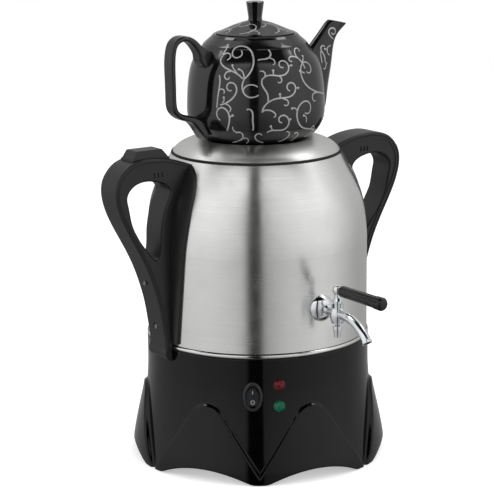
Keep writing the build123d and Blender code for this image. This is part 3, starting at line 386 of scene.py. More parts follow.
# ------------------------------ studio
@dataclass
class Studio:
    """A pale floor, a white surround, two soft boxes with a gap between them, and the camera."""
    facing_deg: float = -34.0
    camera_distance: float = 1.8
    camera_height: float = 0.6073
    pitch_deg: float = 12.825
    yaw_deg: float = -0.309
    roll_deg: float = -0.534
    lens_mm: float = 137.27
    clip_end: float = 20.0
    floor_radius: float = 2.5
    floor_colour: str = "#f4f4f4"
    # Light added to the floor for the eye alone, which makes it white while its shadow stays.
    floor_lift: float = 0.45
    # Strength of the surround for what is dull.
    plain_strength: float = 0.55
    # Brightness of the surround by angle from the camera's side in degrees. The boxes leave a gap around -3.
    surround: Pairs = (
        (-180, 0.5), (-125, 0.55), (-99, 0.78), (-75, 0.97), (-48, 0.97), (-32, 0.88), (-18, 0.76),
        (-11.8, 0.66), (-9.2, 0.0), (4.2, 0.0), (5.4, 0.5), (13, 0.6), (30, 0.78), (50, 0.93), (70, 1.0),
        (85, 0.94), (99, 0.76), (125, 0.55), (180, 0.5))
    # Its share of that by elevation in degrees, up to the bright ceiling.
    heights: Pairs = (
        (-90, 0.35), (-30, 0.55), (-14, 0.74), (-10, 0.82), (-2, 0.98), (27, 1.12), (38, 1.15), (48, 1.7),
        (62, 1.7), (90, 1.9))
    # The dark part of the ceiling over the camera: how high it is, how far it reaches sideways and up, and
    # the shares of that reach at which it starts to brighten and ends.
    patch_elevation: float = 75.0
    patch_reach: tuple[float, float] = (46.0, 20.0)
    patch_edge: tuple[float, float] = (0.75, 1.35)
    # Height in metres that the lamps aim at.
    aim_height: float = 0.2
    # Name, angle from the camera's side, distance, height and size in metres, watts, and whether it only
    # glints.
    lamps: tuple[tuple[str, float, float, float, float, float, bool], ...] = (
        ("box_left", -50, 1.6, 1.1, 1.4, 14, False), ("box_right", 48, 1.6, 1.0, 1.4, 12, False),
        ("box_top", 150, 1.6, 2.2, 2.0, 18, False), ("glint_left", -104, 0.85, 1.43, 0.36, 1.5, True),
        ("glint_right", 104, 0.85, 1.43, 0.36, 1.5, True))

    def make_camera(self) -> None:
        """Adds the camera and makes it the scene's."""
        data = bpy.data.cameras.new("camera")
        data.lens = self.lens_mm
        data.clip_end = self.clip_end
        camera = add_object("camera", data)
        turn = math.radians(self.facing_deg)
        place = Vector((math.sin(turn), -math.cos(turn), 0)) * self.camera_distance
        place.z = self.camera_height
        aim = (Matrix.Rotation(turn - math.radians(self.yaw_deg), 4, "Z")
               @ Matrix.Rotation(math.radians(90 - self.pitch_deg), 4, "X")
               @ Matrix.Rotation(math.radians(self.roll_deg), 4, "Z"))
        camera.matrix_world = Matrix.Translation(place) @ aim
        bpy.context.scene.camera = camera

    def ramp_over(self, tree: bpy.types.NodeTree, angle: bpy.types.Node, stops: Pairs,
                  reach: float) -> bpy.types.Node:
        """Turns an angle into a brightness.

        Args:
            tree: The world's node tree.
            angle: The node that gives the angle in radians.
            stops: Angle in degrees and brightness of each stop.
            reach: The angle in degrees at both ends of the ramp.

        Returns:
            The node that gives the brightness.
        """
        share = add_node(tree, "MapRange", {
            "Value": angle, "From Min": -math.radians(reach), "From Max": math.radians(reach)})
        ramp = add_node(tree, "ValToRGB", {0: share})
        set_ramp(ramp, tuple(((a + reach) / (2 * reach), v) for a, v in stops))
        return ramp

    def make_world(self) -> None:
        """Makes the surround: white to the camera, soft boxes to what mirrors it, plain to the rest."""
        world = bpy.data.worlds.new("studio")
        bpy.context.scene.world = world
        tree = clear_nodes(world)
        ray = add_node(tree, "LightPath")
        way = add_node(tree, "TexCoord").outputs["Generated"]
        turn = math.radians(self.facing_deg)
        front = add_node(tree, "VectorMath", {0: way, 1: (math.sin(turn), -math.cos(turn), 0)},
                         operation="DOT_PRODUCT")
        side = add_node(tree, "VectorMath", {0: way, 1: (math.cos(turn), math.sin(turn), 0)},
                        operation="DOT_PRODUCT")
        around = add_node(tree, "Math", {0: side.outputs["Value"], 1: front.outputs["Value"]},
                          operation="ARCTAN2")
        height = add_node(tree, "SeparateXYZ", {0: way})
        rise = add_node(tree, "Math", {0: height.outputs["Z"]}, operation="ARCSINE")
        boxes = add_node(tree, "Math", {
            0: self.ramp_over(tree, around, self.surround, 180),
            1: self.ramp_over(tree, rise, self.heights, 90)}, operation="MULTIPLY")
        lean = math.radians(self.patch_elevation)
        above = Vector((-math.sin(turn) * math.sin(lean), math.cos(turn) * math.sin(lean), math.cos(lean)))
        parts = []
        for axis, reach in zip((Vector((math.cos(turn), math.sin(turn), 0)), above), self.patch_reach):
            part = add_node(tree, "VectorMath", {0: way, 1: axis / math.sin(math.radians(reach))},
                            operation="DOT_PRODUCT").outputs["Value"]
            parts.append(add_node(tree, "Math", {0: part, 1: part}, operation="MULTIPLY"))
        away = add_node(tree, "Math", {0: parts[0], 1: parts[1]}, operation="ADD")
        shade = add_node(tree, "MapRange", {
            "Value": away, "From Min": self.patch_edge[0], "From Max": self.patch_edge[1]})
        boxes = add_node(tree, "Math", {0: boxes, 1: shade}, operation="MULTIPLY")
        mirrored = add_node(tree, "Math", {
            0: ray.outputs["Is Glossy Ray"], 1: ray.outputs["Is Transmission Ray"]}, operation="MAXIMUM")
        strength = add_node(tree, "Mix", {"Factor": mirrored, 2: self.plain_strength, 3: boxes})
        seen = add_node(tree, "Mix", {"Factor": ray.outputs["Is Camera Ray"], 2: strength, 3: 1.0})
        light = add_node(tree, "Background", {"Color": (1, 1, 1, 1), "Strength": seen})
        add_node(tree, "OutputWorld", {0: light})

    def make_lamps(self) -> None:
        """Adds the lamps: three soft boxes that light what is dull, and two small ones that only glint."""
        for name, angle, away, height, size, watts, glints in self.lamps:
            data = bpy.data.lights.new(name, "AREA")
            data.energy, data.size = watts, size
            lamp = add_object(name, data)
            place = round_point(self.facing_deg + angle, away, height)
            aim = (place - Vector((0, 0, self.aim_height))).to_track_quat("Z", "Y").to_matrix().to_4x4()
            lamp.matrix_world = Matrix.Translation(place) @ aim
            lamp.visible_glossy, lamp.visible_diffuse = glints, not glints

    def make_floor(self) -> None:
        """Adds the floor: white to the eye with the object's shadow on it, and open to mirrored rays."""
        mesh = bpy.data.meshes.new("floor")
        shape = bmesh.new()
        bmesh.ops.create_circle(shape, cap_ends=True, segments=96, radius=self.floor_radius)
        shape.to_mesh(mesh)
        shape.free()
        floor = add_object("floor", mesh)
        material = bpy.data.materials.new("painted_board_white")
        tree = clear_nodes(material)
        ray = add_node(tree, "LightPath")
        paint = add_node(tree, "BsdfDiffuse", {"Color": linear(self.floor_colour)})
        lift = add_node(tree, "Emission", {"Strength": self.floor_lift})
        shown = add_node(tree, "AddShader", {0: paint, 1: lift})
        eye = add_node(tree, "MixShader", {0: ray.outputs["Is Camera Ray"], 1: paint, 2: shown})
        gap = add_node(tree, "BsdfTransparent")
        whole = add_node(tree, "MixShader", {0: ray.outputs["Is Glossy Ray"], 1: eye, 2: gap})
        add_node(tree, "OutputMaterial", {0: whole})
        mesh.materials.append(material)

    def build(self) -> None:
        """Sets up the whole studio."""
        self.make_camera()
        self.make_world()
        self.make_lamps()
        self.make_floor()
        bpy.context.scene.view_settings.view_transform = "Standard"
        LOG.info("studio ready")


# ------------------------------ meshes
def mesh_object(name: str, points: Points, faces: Faces, smooth: bool = True) -> bpy.types.Object:
    """Makes an object from points in millimetres.

    Args:
        name: The piece's name.
        points: Its points, in millimetres.
        faces: The corner numbers of each face.
        smooth: Whether its faces are shaded smooth.

    Returns:
        The new object, linked to the scene.
    """
    mesh = bpy.data.meshes.new(name)
    mesh.from_pydata([p * MM for p in points], [], faces)
    mesh.polygons.foreach_set("use_smooth", [smooth] * len(mesh.polygons))
    shape = bmesh.new()
    shape.from_mesh(mesh)
    bmesh.ops.recalc_face_normals(shape, faces=shape.faces)
    shape.to_mesh(mesh)
    shape.free()
    return add_object(name, mesh)


def circle(centre: Vector, across: Vector, along: Vector, radius: float, sides: int,
           shift: float = 0.0) -> Points:
    """Gives evenly spaced points on a circle.

    Args:
        centre: Its middle.
        across: Unit direction of the first point.
        along: Unit direction that the points turn towards.
        radius: Its radius.
        sides: How many points it has.
        shift: Share of a space that all points are turned on.

    Returns:
        The points.
    """
    turns = [2 * math.pi * (k + shift) / sides for k in range(sides)]
    return [centre + (across * math.cos(turn) + along * math.sin(turn)) * radius for turn in turns]


def skin(first: int, rings: int, sides: int, joined: bool = False) -> Faces:
    """Gives the faces over rings of points that follow each other in a list of points.

    Args:
        first: Number of the first ring's first point.
        rings: How many rings there are.
        sides: How many points a ring has.
        joined: Whether the last ring joins the first. If not, both end rings are capped.

    Returns:
        The corner numbers of each face.
    """
    faces: Faces = []
    for ring in range(rings if joined else rings - 1):
        here, there = first + ring * sides, first + (ring + 1) % rings * sides
        faces += [(here + k, here + (k + 1) % sides, there + (k + 1) % sides, there + k)
                  for k in range(sides)]
    if not joined:
        last = first + (rings - 1) * sides
        faces += [tuple(range(first, first + sides)), tuple(range(last, last + sides))]
    return faces


def smooth_through(points: Pairs, where: float) -> float:
    """Reads a smooth curve through points, held level beyond both ends.

    Args:
        points: Place and value of each point, in rising order of place.
        where: The place to read.

    Returns:
        The value there.
    """
    if where <= points[0][0]:
        return points[0][1]
    if where >= points[-1][0]:
        return points[-1][1]
    last = len(points) - 1
    i = max(k for k in range(last) if points[k][0] <= where)
    slopes = []
    for k in (i, i + 1):
        low, high = points[max(k - 1, 0)], points[min(k + 1, last)]
        slopes.append((high[1] - low[1]) / (high[0] - low[0]))
    (x0, y0), (x1, y1) = points[i], points[i + 1]
    width = x1 - x0
    t = (where - x0) / width
    return ((1 + 2 * t) * (1 - t) ** 2 * y0 + t * (1 - t) ** 2 * width * slopes[0]
            + t * t * (3 - 2 * t) * y1 + t * t * (t - 1) * width * slopes[1])


def round_point(angle_deg: float, radius: float, height: float) -> Vector:
    """Gives a point by its angle round the main axis.

    Args:
        angle_deg: Angle from -Y towards +X.
        radius: Distance from the axis.
        height: Height above the table.

    Returns:
        The point.
    """
    turn = math.radians(angle_deg)
    return Vector((radius * math.sin(turn), -radius * math.cos(turn), height))


class Approach(Enum):
    """From where a point is set down on a surface."""
    SIDE = "towards the main axis, at an angle and a height"
    TOP = "straight down, at an angle and a radius"
    FRONT = "along +Y, at an x and a height"
    BACK = "along -Y, at an x and a height"


class Surface:
    """The faces of one carried-over solid, to lay detail on."""
    # Where a point starts from, clear of the object, in millimetres.
    outside: float = 400.0
    above: float = 600.0

    def __init__(self, node: str) -> None:
        """Reads the node's faces, in millimetres."""
        mesh = frame["nodes"][node].data
        points = [v.co / MM for v in mesh.vertices]
        self.tree = BVHTree.FromPolygons(points, [p.vertices for p in mesh.polygons])

    def land(self, approach: Approach, first: float, second: float) -> tuple[Vector, Vector]:
        """Sets a point down on the surface.

        Args:
            approach: From where.
            first: The first coordinate that the approach names.
            second: The second one.

        Returns:
            The point and the outward normal there.
        """
        if approach is Approach.SIDE:
            start, way = round_point(first, self.outside, second), -round_point(first, 1.0, 0.0)
        elif approach is Approach.TOP:
            start, way = round_point(first, second, self.above), Vector((0, 0, -1))
        else:
            side = -1 if approach is Approach.FRONT else 1
            start, way = Vector((first, side * self.outside, second)), Vector((0, -side, 0))
        point, normal, _, _ = self.tree.ray_cast(start, way)
        return point, normal if normal.dot(way) < 0 else -normal

    def nearest(self, point: Vector, outward: Vector) -> tuple[Vector, Vector]:
        """Gives the nearest point of the surface and its normal on the side that outward names."""
        found, normal, _, _ = self.tree.find_nearest(point)
        return found, normal if normal.dot(outward) > 0 else -normal


# ------------------------------ ornament
@dataclass(frozen=True)
class Stroke:
    """One stroke of the scrollwork: where it starts, its heading, its length and its bends along the way."""
    first: float
    second: float
    heading_deg: float
    length: float
    bends: tuple[float, ...]
    berry: bool = False


@dataclass
class Scrollwork:
    """Silver vine scrolls fired onto one piece of the teapot, each a low domed ribbon, in millimetres."""
    name: str
    node: str
    body: str
    approach: Approach
    strokes: list[Stroke]
    turns: tuple[float, ...] = (0.0,)
    width: float = 1.5
    height: float = 0.16
    berry_radius: float = 1.2
    berry_sides: int = 12
    step: float = 0.5
    fewest_steps: int = 4
    # A stroke this long has the full width, and the shortest keep a share of it.
    full_weight_length: float = 25.0
    least_weight: float = 0.7
    # A stroke swells from its root and thins towards its tip: its thinnest share, where on the wave it starts
    # and how much of the wave it runs through.
    thinnest: float = 0.55
    wave_start: float = 0.25
    wave_run: float = 0.6
    # Halves of the width and shares of the height, round the section of a ribbon.
    ribbon_section: Pairs = (
        (-1.0, -0.6), (-1.0, 0.4), (-0.5, 0.9), (0.5, 0.9), (1.0, 0.4), (1.0, -0.6))
    # Shares of the radius and of the height, from the foot of a berry to its top.
    berry_section: Pairs = ((1.0, -0.6), (1.0, 0.5), (0.55, 1.2))

    def walk(self, surface: Surface, stroke: Stroke, turn: float) -> list[Station]:
        """Follows a stroke over the surface.

        Args:
            surface: What the stroke lies on.
            stroke: The stroke.
            turn: Degrees that its start is moved round the axis.

        Returns:
            The point, the normal and the sideways direction at each step.
        """
        point, normal = surface.land(self.approach, stroke.first + turn, stroke.second)
        mirror = -1 if self.approach is Approach.BACK else 1
        heading = math.radians(stroke.heading_deg if mirror > 0 else 180 - stroke.heading_deg)
        count = max(self.fewest_steps, round(stroke.length / self.step))
        path = []
        knots = len(stroke.bends) - 1
        for i in range(count + 1):
            level = Vector((-normal.y, normal.x, 0)).normalized()
            rising = normal.cross(level)
            ahead = level * math.cos(heading) + rising * math.sin(heading)
            path.append((point, normal, normal.cross(ahead)))
            k = min(i * knots // count, knots - 1)
            bend = stroke.bends[k] + (i / count * knots - k) * (stroke.bends[k + 1] - stroke.bends[k])
            heading += mirror * bend * stroke.length / count
            point, normal = surface.nearest(point + ahead * stroke.length / count, normal)
        return path

    def ribbon(self, path: list[Station], length: float,
               points: Points, faces: Faces) -> None:
        """Adds a closed, domed ribbon along a path.

        Args:
            path: The point, normal and sideways direction at each step.
            length: The stroke's length, which sets its weight.
            points: The list that its points join.
            faces: The list that its faces join.
        """
        weight = self.least_weight + (1 - self.least_weight) * min(1.0, length / self.full_weight_length)
        faces += skin(len(points), len(path), len(self.ribbon_section))
        for i, (point, normal, aside) in enumerate(path):
            wave = math.sin(math.pi * min(1.0, self.wave_start + i / (len(path) - 1) * self.wave_run))
            half = self.width * weight / 2 * (self.thinnest + (1 - self.thinnest) * wave)
            points += [point + aside * (a * half) + normal * (b * self.height)
                       for a, b in self.ribbon_section]

    def berry(self, tip: Station, points: Points, faces: Faces) -> None:
        """Adds a low round dot at the tip of a stroke.

        Args:
            tip: The point, normal and sideways direction there.
            points: The list that its points join.
            faces: The list that its faces join.
        """
        point, normal, aside = tip
        faces += skin(len(points), len(self.berry_section), self.berry_sides)
        for reach, lift in self.berry_section:
            points += circle(point + normal * (lift * self.height), aside, normal.cross(aside),
                             reach * self.berry_radius, self.berry_sides)

    def build(self, workshop: Workshop) -> None:
        """Lays every stroke and dresses the whole in lustre.

        Args:
            workshop: Where the material comes from.
        """
        surface = Surface(self.node)
        points: Points = []
        faces: Faces = []
        for turn in self.turns:
            for stroke in self.strokes:
                path = self.walk(surface, stroke, turn)
                self.ribbon(path, stroke.length, points, faces)
                if stroke.berry:
                    self.berry(path[-1], points, faces)
        workshop.hand_over(mesh_object(self.name, points, faces), LUSTRE, self.body, "polished_steel")


# Each starts at the two coordinates that its approach names. Its heading is from level, and its bends are
# radians to a millimetre, at even spaces along it.
POT_STROKES = [
    Stroke(-44.0, 372.0, 36, 72.5, (0.049, 0.044, 0.144, 0.247)),
    Stroke(-44.8, 372.2, 129, 52.2, (0.067, -0.010, -0.166, -0.340)),
    Stroke(-49.7, 377.1, 137, 9.5, (-0.018, -0.046, -0.093), True),
    Stroke(-43.7, 372.2, 92, 11.4, (0.030, 0.130, 0.257), True),
    Stroke(-55.9, 378.5, 172, 16.2, (0.168, 0.252, 0.324, 0.687)),
    Stroke(-67.9, 390.6, 103, 14.9, (-0.127, -0.003, 0.402)),
    Stroke(-43.7, 371.8, 245, 28.7, (0.052, 0.093, 0.134, 0.022)),
    Stroke(-44.0, 361.7, 87, 16.2, (-0.235, -0.093, -0.133)),
    Stroke(-64.4, 347.6, 14, 46.7, (0.028, 0.053, 0.201, 0.340)),
    Stroke(-66.6, 374.9, 297, 31.0, (-0.094, -0.014, 0.014, -0.026)),
    Stroke(-65.8, 361.1, 39, 9.5, (-0.166, -0.371, -0.622)),
    Stroke(-62.4, 349.6, 37, 5.9, (0.238, 0.240), True),
    Stroke(-59.1, 323.8, 65, 43.0, (0.005, 0.077, 0.187, 0.122)),
    Stroke(-55.9, 335.4, 70, 4.7, (-0.208, -0.209), True),
    Stroke(-60.1, 349.3, 344, 11.3, (-0.005, -0.225, -0.462)),
    Stroke(-28.9, 341.6, 83, 63.4, (-0.090, -0.037, 0.159, 0.305)),
    Stroke(0.3, 362.5, 355, 3.9, (0.0, 0.0), True),
    Stroke(-13.6, 354.2, 95, 3.5, (0.0, 0.0), True),
    Stroke(-11.6, 353.8, 335, 13.9, (0.097, -0.401, -0.414)),
    Stroke(-23.9, 350.7, 90, 23.8, (-0.008, 0.104, -0.094, -0.198)),
    Stroke(-27.8, 372.4, 53, 51.9, (-0.170, 0.072, 0.166, 0.379)),
    Stroke(-3.6, 382.3, 12, 3.6, (0.0, 0.0), True),
    Stroke(-18.7, 375.5, 89, 4.1, (0.0, 0.0), True),
    Stroke(-14.5, 374.4, 339, 11.1, (-0.170, -0.362, -0.593)),
    Stroke(-27.9, 372.5, 31, 11.5, (0.197, 0.310, 0.279)),
    Stroke(-31.8, 388.6, 28, 20.4, (-0.178, 0.098, 0.200, 0.198)),
    Stroke(-23.5, 390.2, 10, 13.7, (-0.099, -0.226, -0.532)),
    Stroke(14.7, 378.6, 108, 29.0, (-0.037, 0.104, 0.117, 0.753)),
    Stroke(10.8, 387.9, 131, 20.2, (-0.186, -0.101, -0.279, -0.806)),
    Stroke(12.7, 384.5, 23, 8.4, (0.110, 0.108), True),
    Stroke(45.4, 350.8, 165, 88.0, (0.010, -0.022, -0.100, -0.250)),
    Stroke(12.9, 374.6, 155, 6.3, (0.0, 0.0), True),
    Stroke(30.7, 355.3, 201, 21.4, (-0.197, 0.276, 0.249)),
    Stroke(31.4, 318.4, 151, 81.9, (0.051, -0.060, -0.093, -0.236)),
    Stroke(1.8, 340.8, 111, 7.2, (0.212, 0.219), True),
    Stroke(-24.6, 322.3, 46, 47.1, (-0.186, 0.134, 0.139, 0.403)),
    Stroke(-7.0, 332.9, 24, 2.4, (0.0, 0.0), True),
    Stroke(-20.0, 324.0, 114, 5.0, (0.0, 0.0), True),
    Stroke(-29.2, 341.5, 59, 18.9, (-0.277, -0.072, -0.127, -0.876)),
    Stroke(-36.8, 324.7, 67, 24.6, (0.164, -0.064, 0.104, 0.545)),
    Stroke(-48.2, 322.4, 184, 10.1, (-0.138, -0.222, -0.349)),
    Stroke(-58.0, 311.5, 12, 26.0, (0.05, 0.05, 0.20, 0.45)),
    Stroke(-44.0, 311.0, 40, 12.0, (0.10, 0.25, 0.50), True),
    Stroke(-27.0, 311.5, 160, 22.0, (-0.06, -0.10, -0.25, -0.45)),
    Stroke(-12.0, 312.0, 15, 20.0, (0.06, 0.12, 0.40)),
    Stroke(2.0, 311.5, 30, 16.0, (0.08, 0.16, 0.45), True),
    Stroke(20.0, 313.0, 20, 22.0, (0.05, 0.14, 0.45)),
    Stroke(26.0, 312.5, 5, 24.0, (0.02, 0.06, 0.20), True),
    Stroke(52.0, 316.0, 60, 30.0, (0.06, 0.10, 0.30)),
    Stroke(12.0, 329.0, 80, 9.0, (0.10, 0.30), True),
]
SPOUT_STROKES = [
    Stroke(86.9, 396.1, 150, 29.4, (-0.009, -0.236, -0.276, -0.527)),
    Stroke(75.4, 373.6, 127, 22.6, (-0.221, 0.147, -0.217, -0.717)),
    Stroke(80.9, 381.0, 149, 14.4, (-0.099, -0.221, -0.238, -0.116)),
    Stroke(77.6, 387.1, 169, 2.7, (0.0, 0.0), True),
    Stroke(71.5, 370.0, 278, 9.4, (0.974, -0.846)),
    Stroke(69.9, 374.7, 95, 11.7, (-0.012, -0.010)),
]
LID_STROKES = [
    Stroke(0.0, 33.0, 20, 34.0, (0.02, 0.05, 0.14, 0.40)),
    Stroke(14.0, 31.0, 75, 11.0, (-0.05, -0.2, -0.5)),
    Stroke(24.0, 27.0, 340, 9.0, (-0.1, -0.2, -0.4), True),
    Stroke(40.0, 21.0, 15, 15.0, (0.05, 0.1, 0.5)),
]
SCROLLWORKS = [
    Scrollwork("pot_scrolls", "teapot_body", "teapot", Approach.SIDE, POT_STROKES, (0.0, 180.0)),
    Scrollwork("spout_scrolls", "teapot_spout", "teapot", Approach.FRONT, SPOUT_STROKES),
    Scrollwork("spout_scrolls_back", "teapot_spout", "teapot", Approach.BACK, SPOUT_STROKES),
    Scrollwork("lid_scrolls", "teapot_lid", "pot_lid", Approach.TOP, LID_STROKES,
               tuple(k * 60.0 for k in range(6)), width=1.2, berry_radius=0.9),
]


# ------------------------------ base
@dataclass
class BaseShell:
    """The moulded skirt of the base: a flared drum with six petals swelling out of it, in millimetres."""
    top: float = 118.0
    wall: float = 2.6
    panel_deg: float = -33.5
    petals: tuple[float, ...] = (26.3, 85.6, 148.5)
    crown_height: float = 53.9
    crown_radius: float = 18.6
    flank_slope: float = 1.49
    crease: float = 0.22
    # Share of the swell that the outline itself stands at.
    swell_at_outline: float = 0.35
    # The scallop under each petal, measured on the outline at this height, and the blend into the foot.
    arch_height: float = 6.0
    arch_rise: float = 13.0
    arch_radius: float = 98.0
    foot_lift: float = 0.6
    foot_sharpness: float = 1.2
    columns: int = 1500
    rows: int = 150
    # Rows lie closer towards the top, and the inside has one row for each of these outside.
    row_power: float = 0.9
    inner_stride: int = 4
    # The rounded upper edge: drop below the top and cut into the radius.
    lip: Pairs = ((0.9, 0.0), (0.25, 0.25), (0.0, 0.9))
    # Height and depth of the rounded wall between drum and petal, and height and radius of both.
    roll: Pairs = ((40, 2.2), (58, 2.4), (70, 3.4))
    drum: Pairs = (
        (0, 120.0), (8, 118.6), (26, 115.0), (48, 111.4), (70, 108.8), (90, 107.5), (118, 107.5))
    petal: Pairs = (
        (0, 122.8), (6, 123.2), (14, 122.8), (31, 119.8), (50, 115.7), (66, 112.3), (80, 110.6))

    def inside_petal(self, aside: float, height: float) -> float:
        """Gives how far a point lies inside the outline of its petal, below zero outside it.

        Args:
            aside: Distance from the petal's middle line.
            height: Height above the table.

        Returns:
            The distance to the outline.
        """
        up = height - self.crown_height
        if up > abs(aside) / self.flank_slope:
            return self.crown_radius - math.hypot(aside, up)
        return self.crown_radius - (abs(aside) * self.flank_slope + up) / math.hypot(1, self.flank_slope)

    def swell(self, depth: float, height: float) -> float:
        """Gives the share of the petal's swell at a depth inside its outline.

        Args:
            depth: Distance inside the outline.
            height: Height above the table: the wall is steeper on the flanks than round the crown.

        Returns:
            Zero on the drum, one on the full petal.
        """
        share = min(max(depth / smooth_through(self.roll, height) + self.swell_at_outline, 0.0), 1.0)
        near = min(share, 1 - share)
        rise = near ** 2 / (2 * self.crease) if near < self.crease else near - self.crease / 2
        rise /= 1 - self.crease
        return rise if share < 0.5 else 1 - rise

    def outline(self, angle_deg: float, height: float) -> float:
        """Gives the outer radius.

        Args:
            angle_deg: Angle from the middle of the nearest petal.
            height: Height above the table.

        Returns:
            The radius there.
        """
        radius = smooth_through(self.drum, height)
        share = self.swell(self.inside_petal(radius * math.sin(math.radians(angle_deg)), height), height)
        return radius + share * (smooth_through(self.petal, height) - radius)

    def column(self, off: float) -> list[tuple[float, float]]:
        """Gives the closed section of the wall at one angle.

        Args:
            off: Angle from the middle of the nearest petal, in degrees.

        Returns:
            Radius and height of each point, up the outside and down the inside.
        """
        aside = self.outline(off, self.arch_height) * math.sin(math.radians(off))
        arch = self.arch_rise - self.arch_radius + math.sqrt(max(self.arch_radius ** 2 - aside ** 2, 0.0))
        sharp = self.foot_sharpness
        low = self.foot_lift + math.log1p(math.exp((arch - self.foot_lift) * sharp)) / sharp
        climb = self.top - self.lip[0][0] - low
        heights = [low + climb * (i / self.rows) ** self.row_power for i in range(self.rows)]
        outside = [(self.outline(off, z), z) for z in heights]
        outside += [(self.outline(off, self.top - drop) - cut, self.top - drop) for drop, cut in self.lip]
        inside = outside[:1] + outside[1:-1:self.inner_stride] + outside[-1:]
        return outside + [(r - self.wall, min(z, self.top - self.wall)) for r, z in reversed(inside)]

    def build(self, workshop: Workshop) -> None:
        """Makes the skirt as one closed skin, outside, round its edges and inside.

        Args:
            workshop: Where the material comes from.
        """
        middles = [side * away for away in self.petals for side in (-1, 1)]
        points: Points = []
        for column in range(self.columns):
            angle = column * 360 / self.columns
            off = min(((angle - middle + 180) % 360 - 180 for middle in middles), key=abs)
            points += [round_point(self.panel_deg + angle, r, z) for r, z in self.column(off)]
        faces = skin(0, self.columns, len(points) // self.columns, joined=True)
        piece = mesh_object("base_skirt", points, faces)
        workshop.hand_over(piece, GLOSS_PLASTIC, "samovar", "gloss_black_plastic", "base_shell")


@dataclass
class SignalLamp:
    """A faceted jewel lens in the wall of the base, in millimetres."""
    name: str
    node: str
    slot: str
    finish: Finish
    height: float
    angle_deg: float = -23.5
    seat: float = 106.9
    sides: int = 12
    # Radius and reach of each ring, from the end of the barrel to the table of the jewel.
    rings: Pairs = (
        (4.2, -9.0), (4.2, 0.0), (5.6, 0.0), (5.6, 1.6), (4.3, 3.3), (2.3, 4.7), (0.9, 5.0))
    # Each ring after this one is turned half a facet more.
    last_straight: int = 3

    def build(self, workshop: Workshop) -> None:
        """Makes the lens with its barrel and stands it for the solid.

        Args:
            workshop: Where the material comes from.
        """
        side = UP.cross(round_point(self.angle_deg, 1.0, 0.0))
        points: Points = []
        for level, (radius, reach) in enumerate(self.rings):
            centre = round_point(self.angle_deg, self.seat + reach, self.height)
            points += circle(centre, side, UP, radius, self.sides, max(level - self.last_straight, 0) / 2)
        piece = mesh_object(self.name, points, skin(0, len(self.rings), self.sides), smooth=False)
        workshop.hand_over(piece, self.finish, "samovar", self.slot, self.node)


LAMPS = [
    SignalLamp("red_jewel", "lamp_red", "red_lens", RED_LENS, 93.0),
    SignalLamp("green_jewel", "lamp_green", "green_lens", GREEN_LENS, 72.5),
]


@dataclass
class SwitchMarks:
    """The on bar and the off ring, printed on the two halves of the rocker, in millimetres."""
    angle_deg: float = -36.7
    centre_height: float = 82.4
    offset: float = 5.0
    bar: tuple[float, float] = (0.7, 3.8)
    ring_radius: float = 2.05
    ring_width: float = 0.65
    ring_corners: int = 24
    thickness: float = 0.12

    def plate(self, name: str, offset: float, corners: list[tuple[float, float, float]], faces: Faces,
              workshop: Workshop) -> None:
        """Makes one mark that follows the rocker's face.

        Args:
            name: The piece's name.
            offset: Height of its middle above the switch's middle.
            corners: Place to the side, upwards and out of the face, of each of its points.
            faces: The corner numbers of each face.
            workshop: Where its material comes from.
        """
        face = Surface("switch_rocker")
        point, normal = face.land(Approach.SIDE, self.angle_deg, self.centre_height + offset)
        side = UP.cross(normal).normalized()
        points = [point + side * x + normal.cross(side) * y + normal * lift for x, y, lift in corners]
        piece = mesh_object(name, points, faces, smooth=False)
        workshop.hand_over(piece, MARK_PAINT, "rocker", "satin_black_plastic")

    def build(self, workshop: Workshop) -> None:
        """Makes both marks.

        Args:
            workshop: Where their material comes from.
        """
        x, y = self.bar[0] / 2, self.bar[1] / 2
        low, high = -self.thickness, self.thickness
        bar = [(a, b, lift) for lift in (low, high) for a, b in ((-x, -y), (x, -y), (x, y), (-x, y))]
        self.plate("on_bar", self.offset, bar, skin(0, 2, 4), workshop)
        outer, inner = self.ring_radius, self.ring_radius - self.ring_width
        section = ((outer, low), (outer, high), (inner, high), (inner, low))
        turns = [2 * math.pi * k / self.ring_corners for k in range(self.ring_corners)]
        ring = [(radius * math.cos(turn), radius * math.sin(turn), lift)
                for turn in turns for radius, lift in section]
        self.plate("off_ring", -self.offset, ring, skin(0, self.ring_corners, 4, joined=True), workshop)


# ------------------------------ painted seam shade, screws and spring
@dataclass
class SeamShadowRing:
    """A thin dark rubber ring in the gap between two turned pieces, which paints the shade of that gap, in
    millimetres.
    """
    name: str
    body: str
    profile: Pairs
    columns: int = 360

    def build(self, workshop: Workshop) -> None:
        """Makes the painted-shade ring as a closed ring round the main axis.

        Args:
            workshop: Where the material comes from.
        """
        angles = [column * 360 / self.columns for column in range(self.columns)]
        points = [round_point(angle, r, z) for angle in angles for r, z in self.profile]
        piece = mesh_object(self.name, points, skin(0, self.columns, len(self.profile), joined=True))
        # Black rubber here paints the shade in the gap.
        workshop.hand_over(piece, RUBBER, self.body, "black_rubber")


# Dark rings that paint the shade in the seam under the lid and in the gaps above and below the bead.
SEAM_SHADOW_RINGS = [
    SeamShadowRing("lid_seam_shadow_ring", "lid", (
        (79.9, 296.0), (80.9, 295.9), (81.45, 295.0), (81.8, 295.1), (81.35, 296.2), (80.8, 296.9),
        (79.9, 297.1))),
    SeamShadowRing("bead_gap_shadow_below", "samovar", (
        (106.2, 117.9), (107.1, 117.95), (107.15, 118.2), (106.9, 118.55), (106.2, 118.4))),
    SeamShadowRing("bead_gap_shadow_above", "samovar", (
        (106.0, 122.3), (106.6, 122.3), (106.6, 122.5), (106.3, 122.65), (106.0, 122.65))),
]


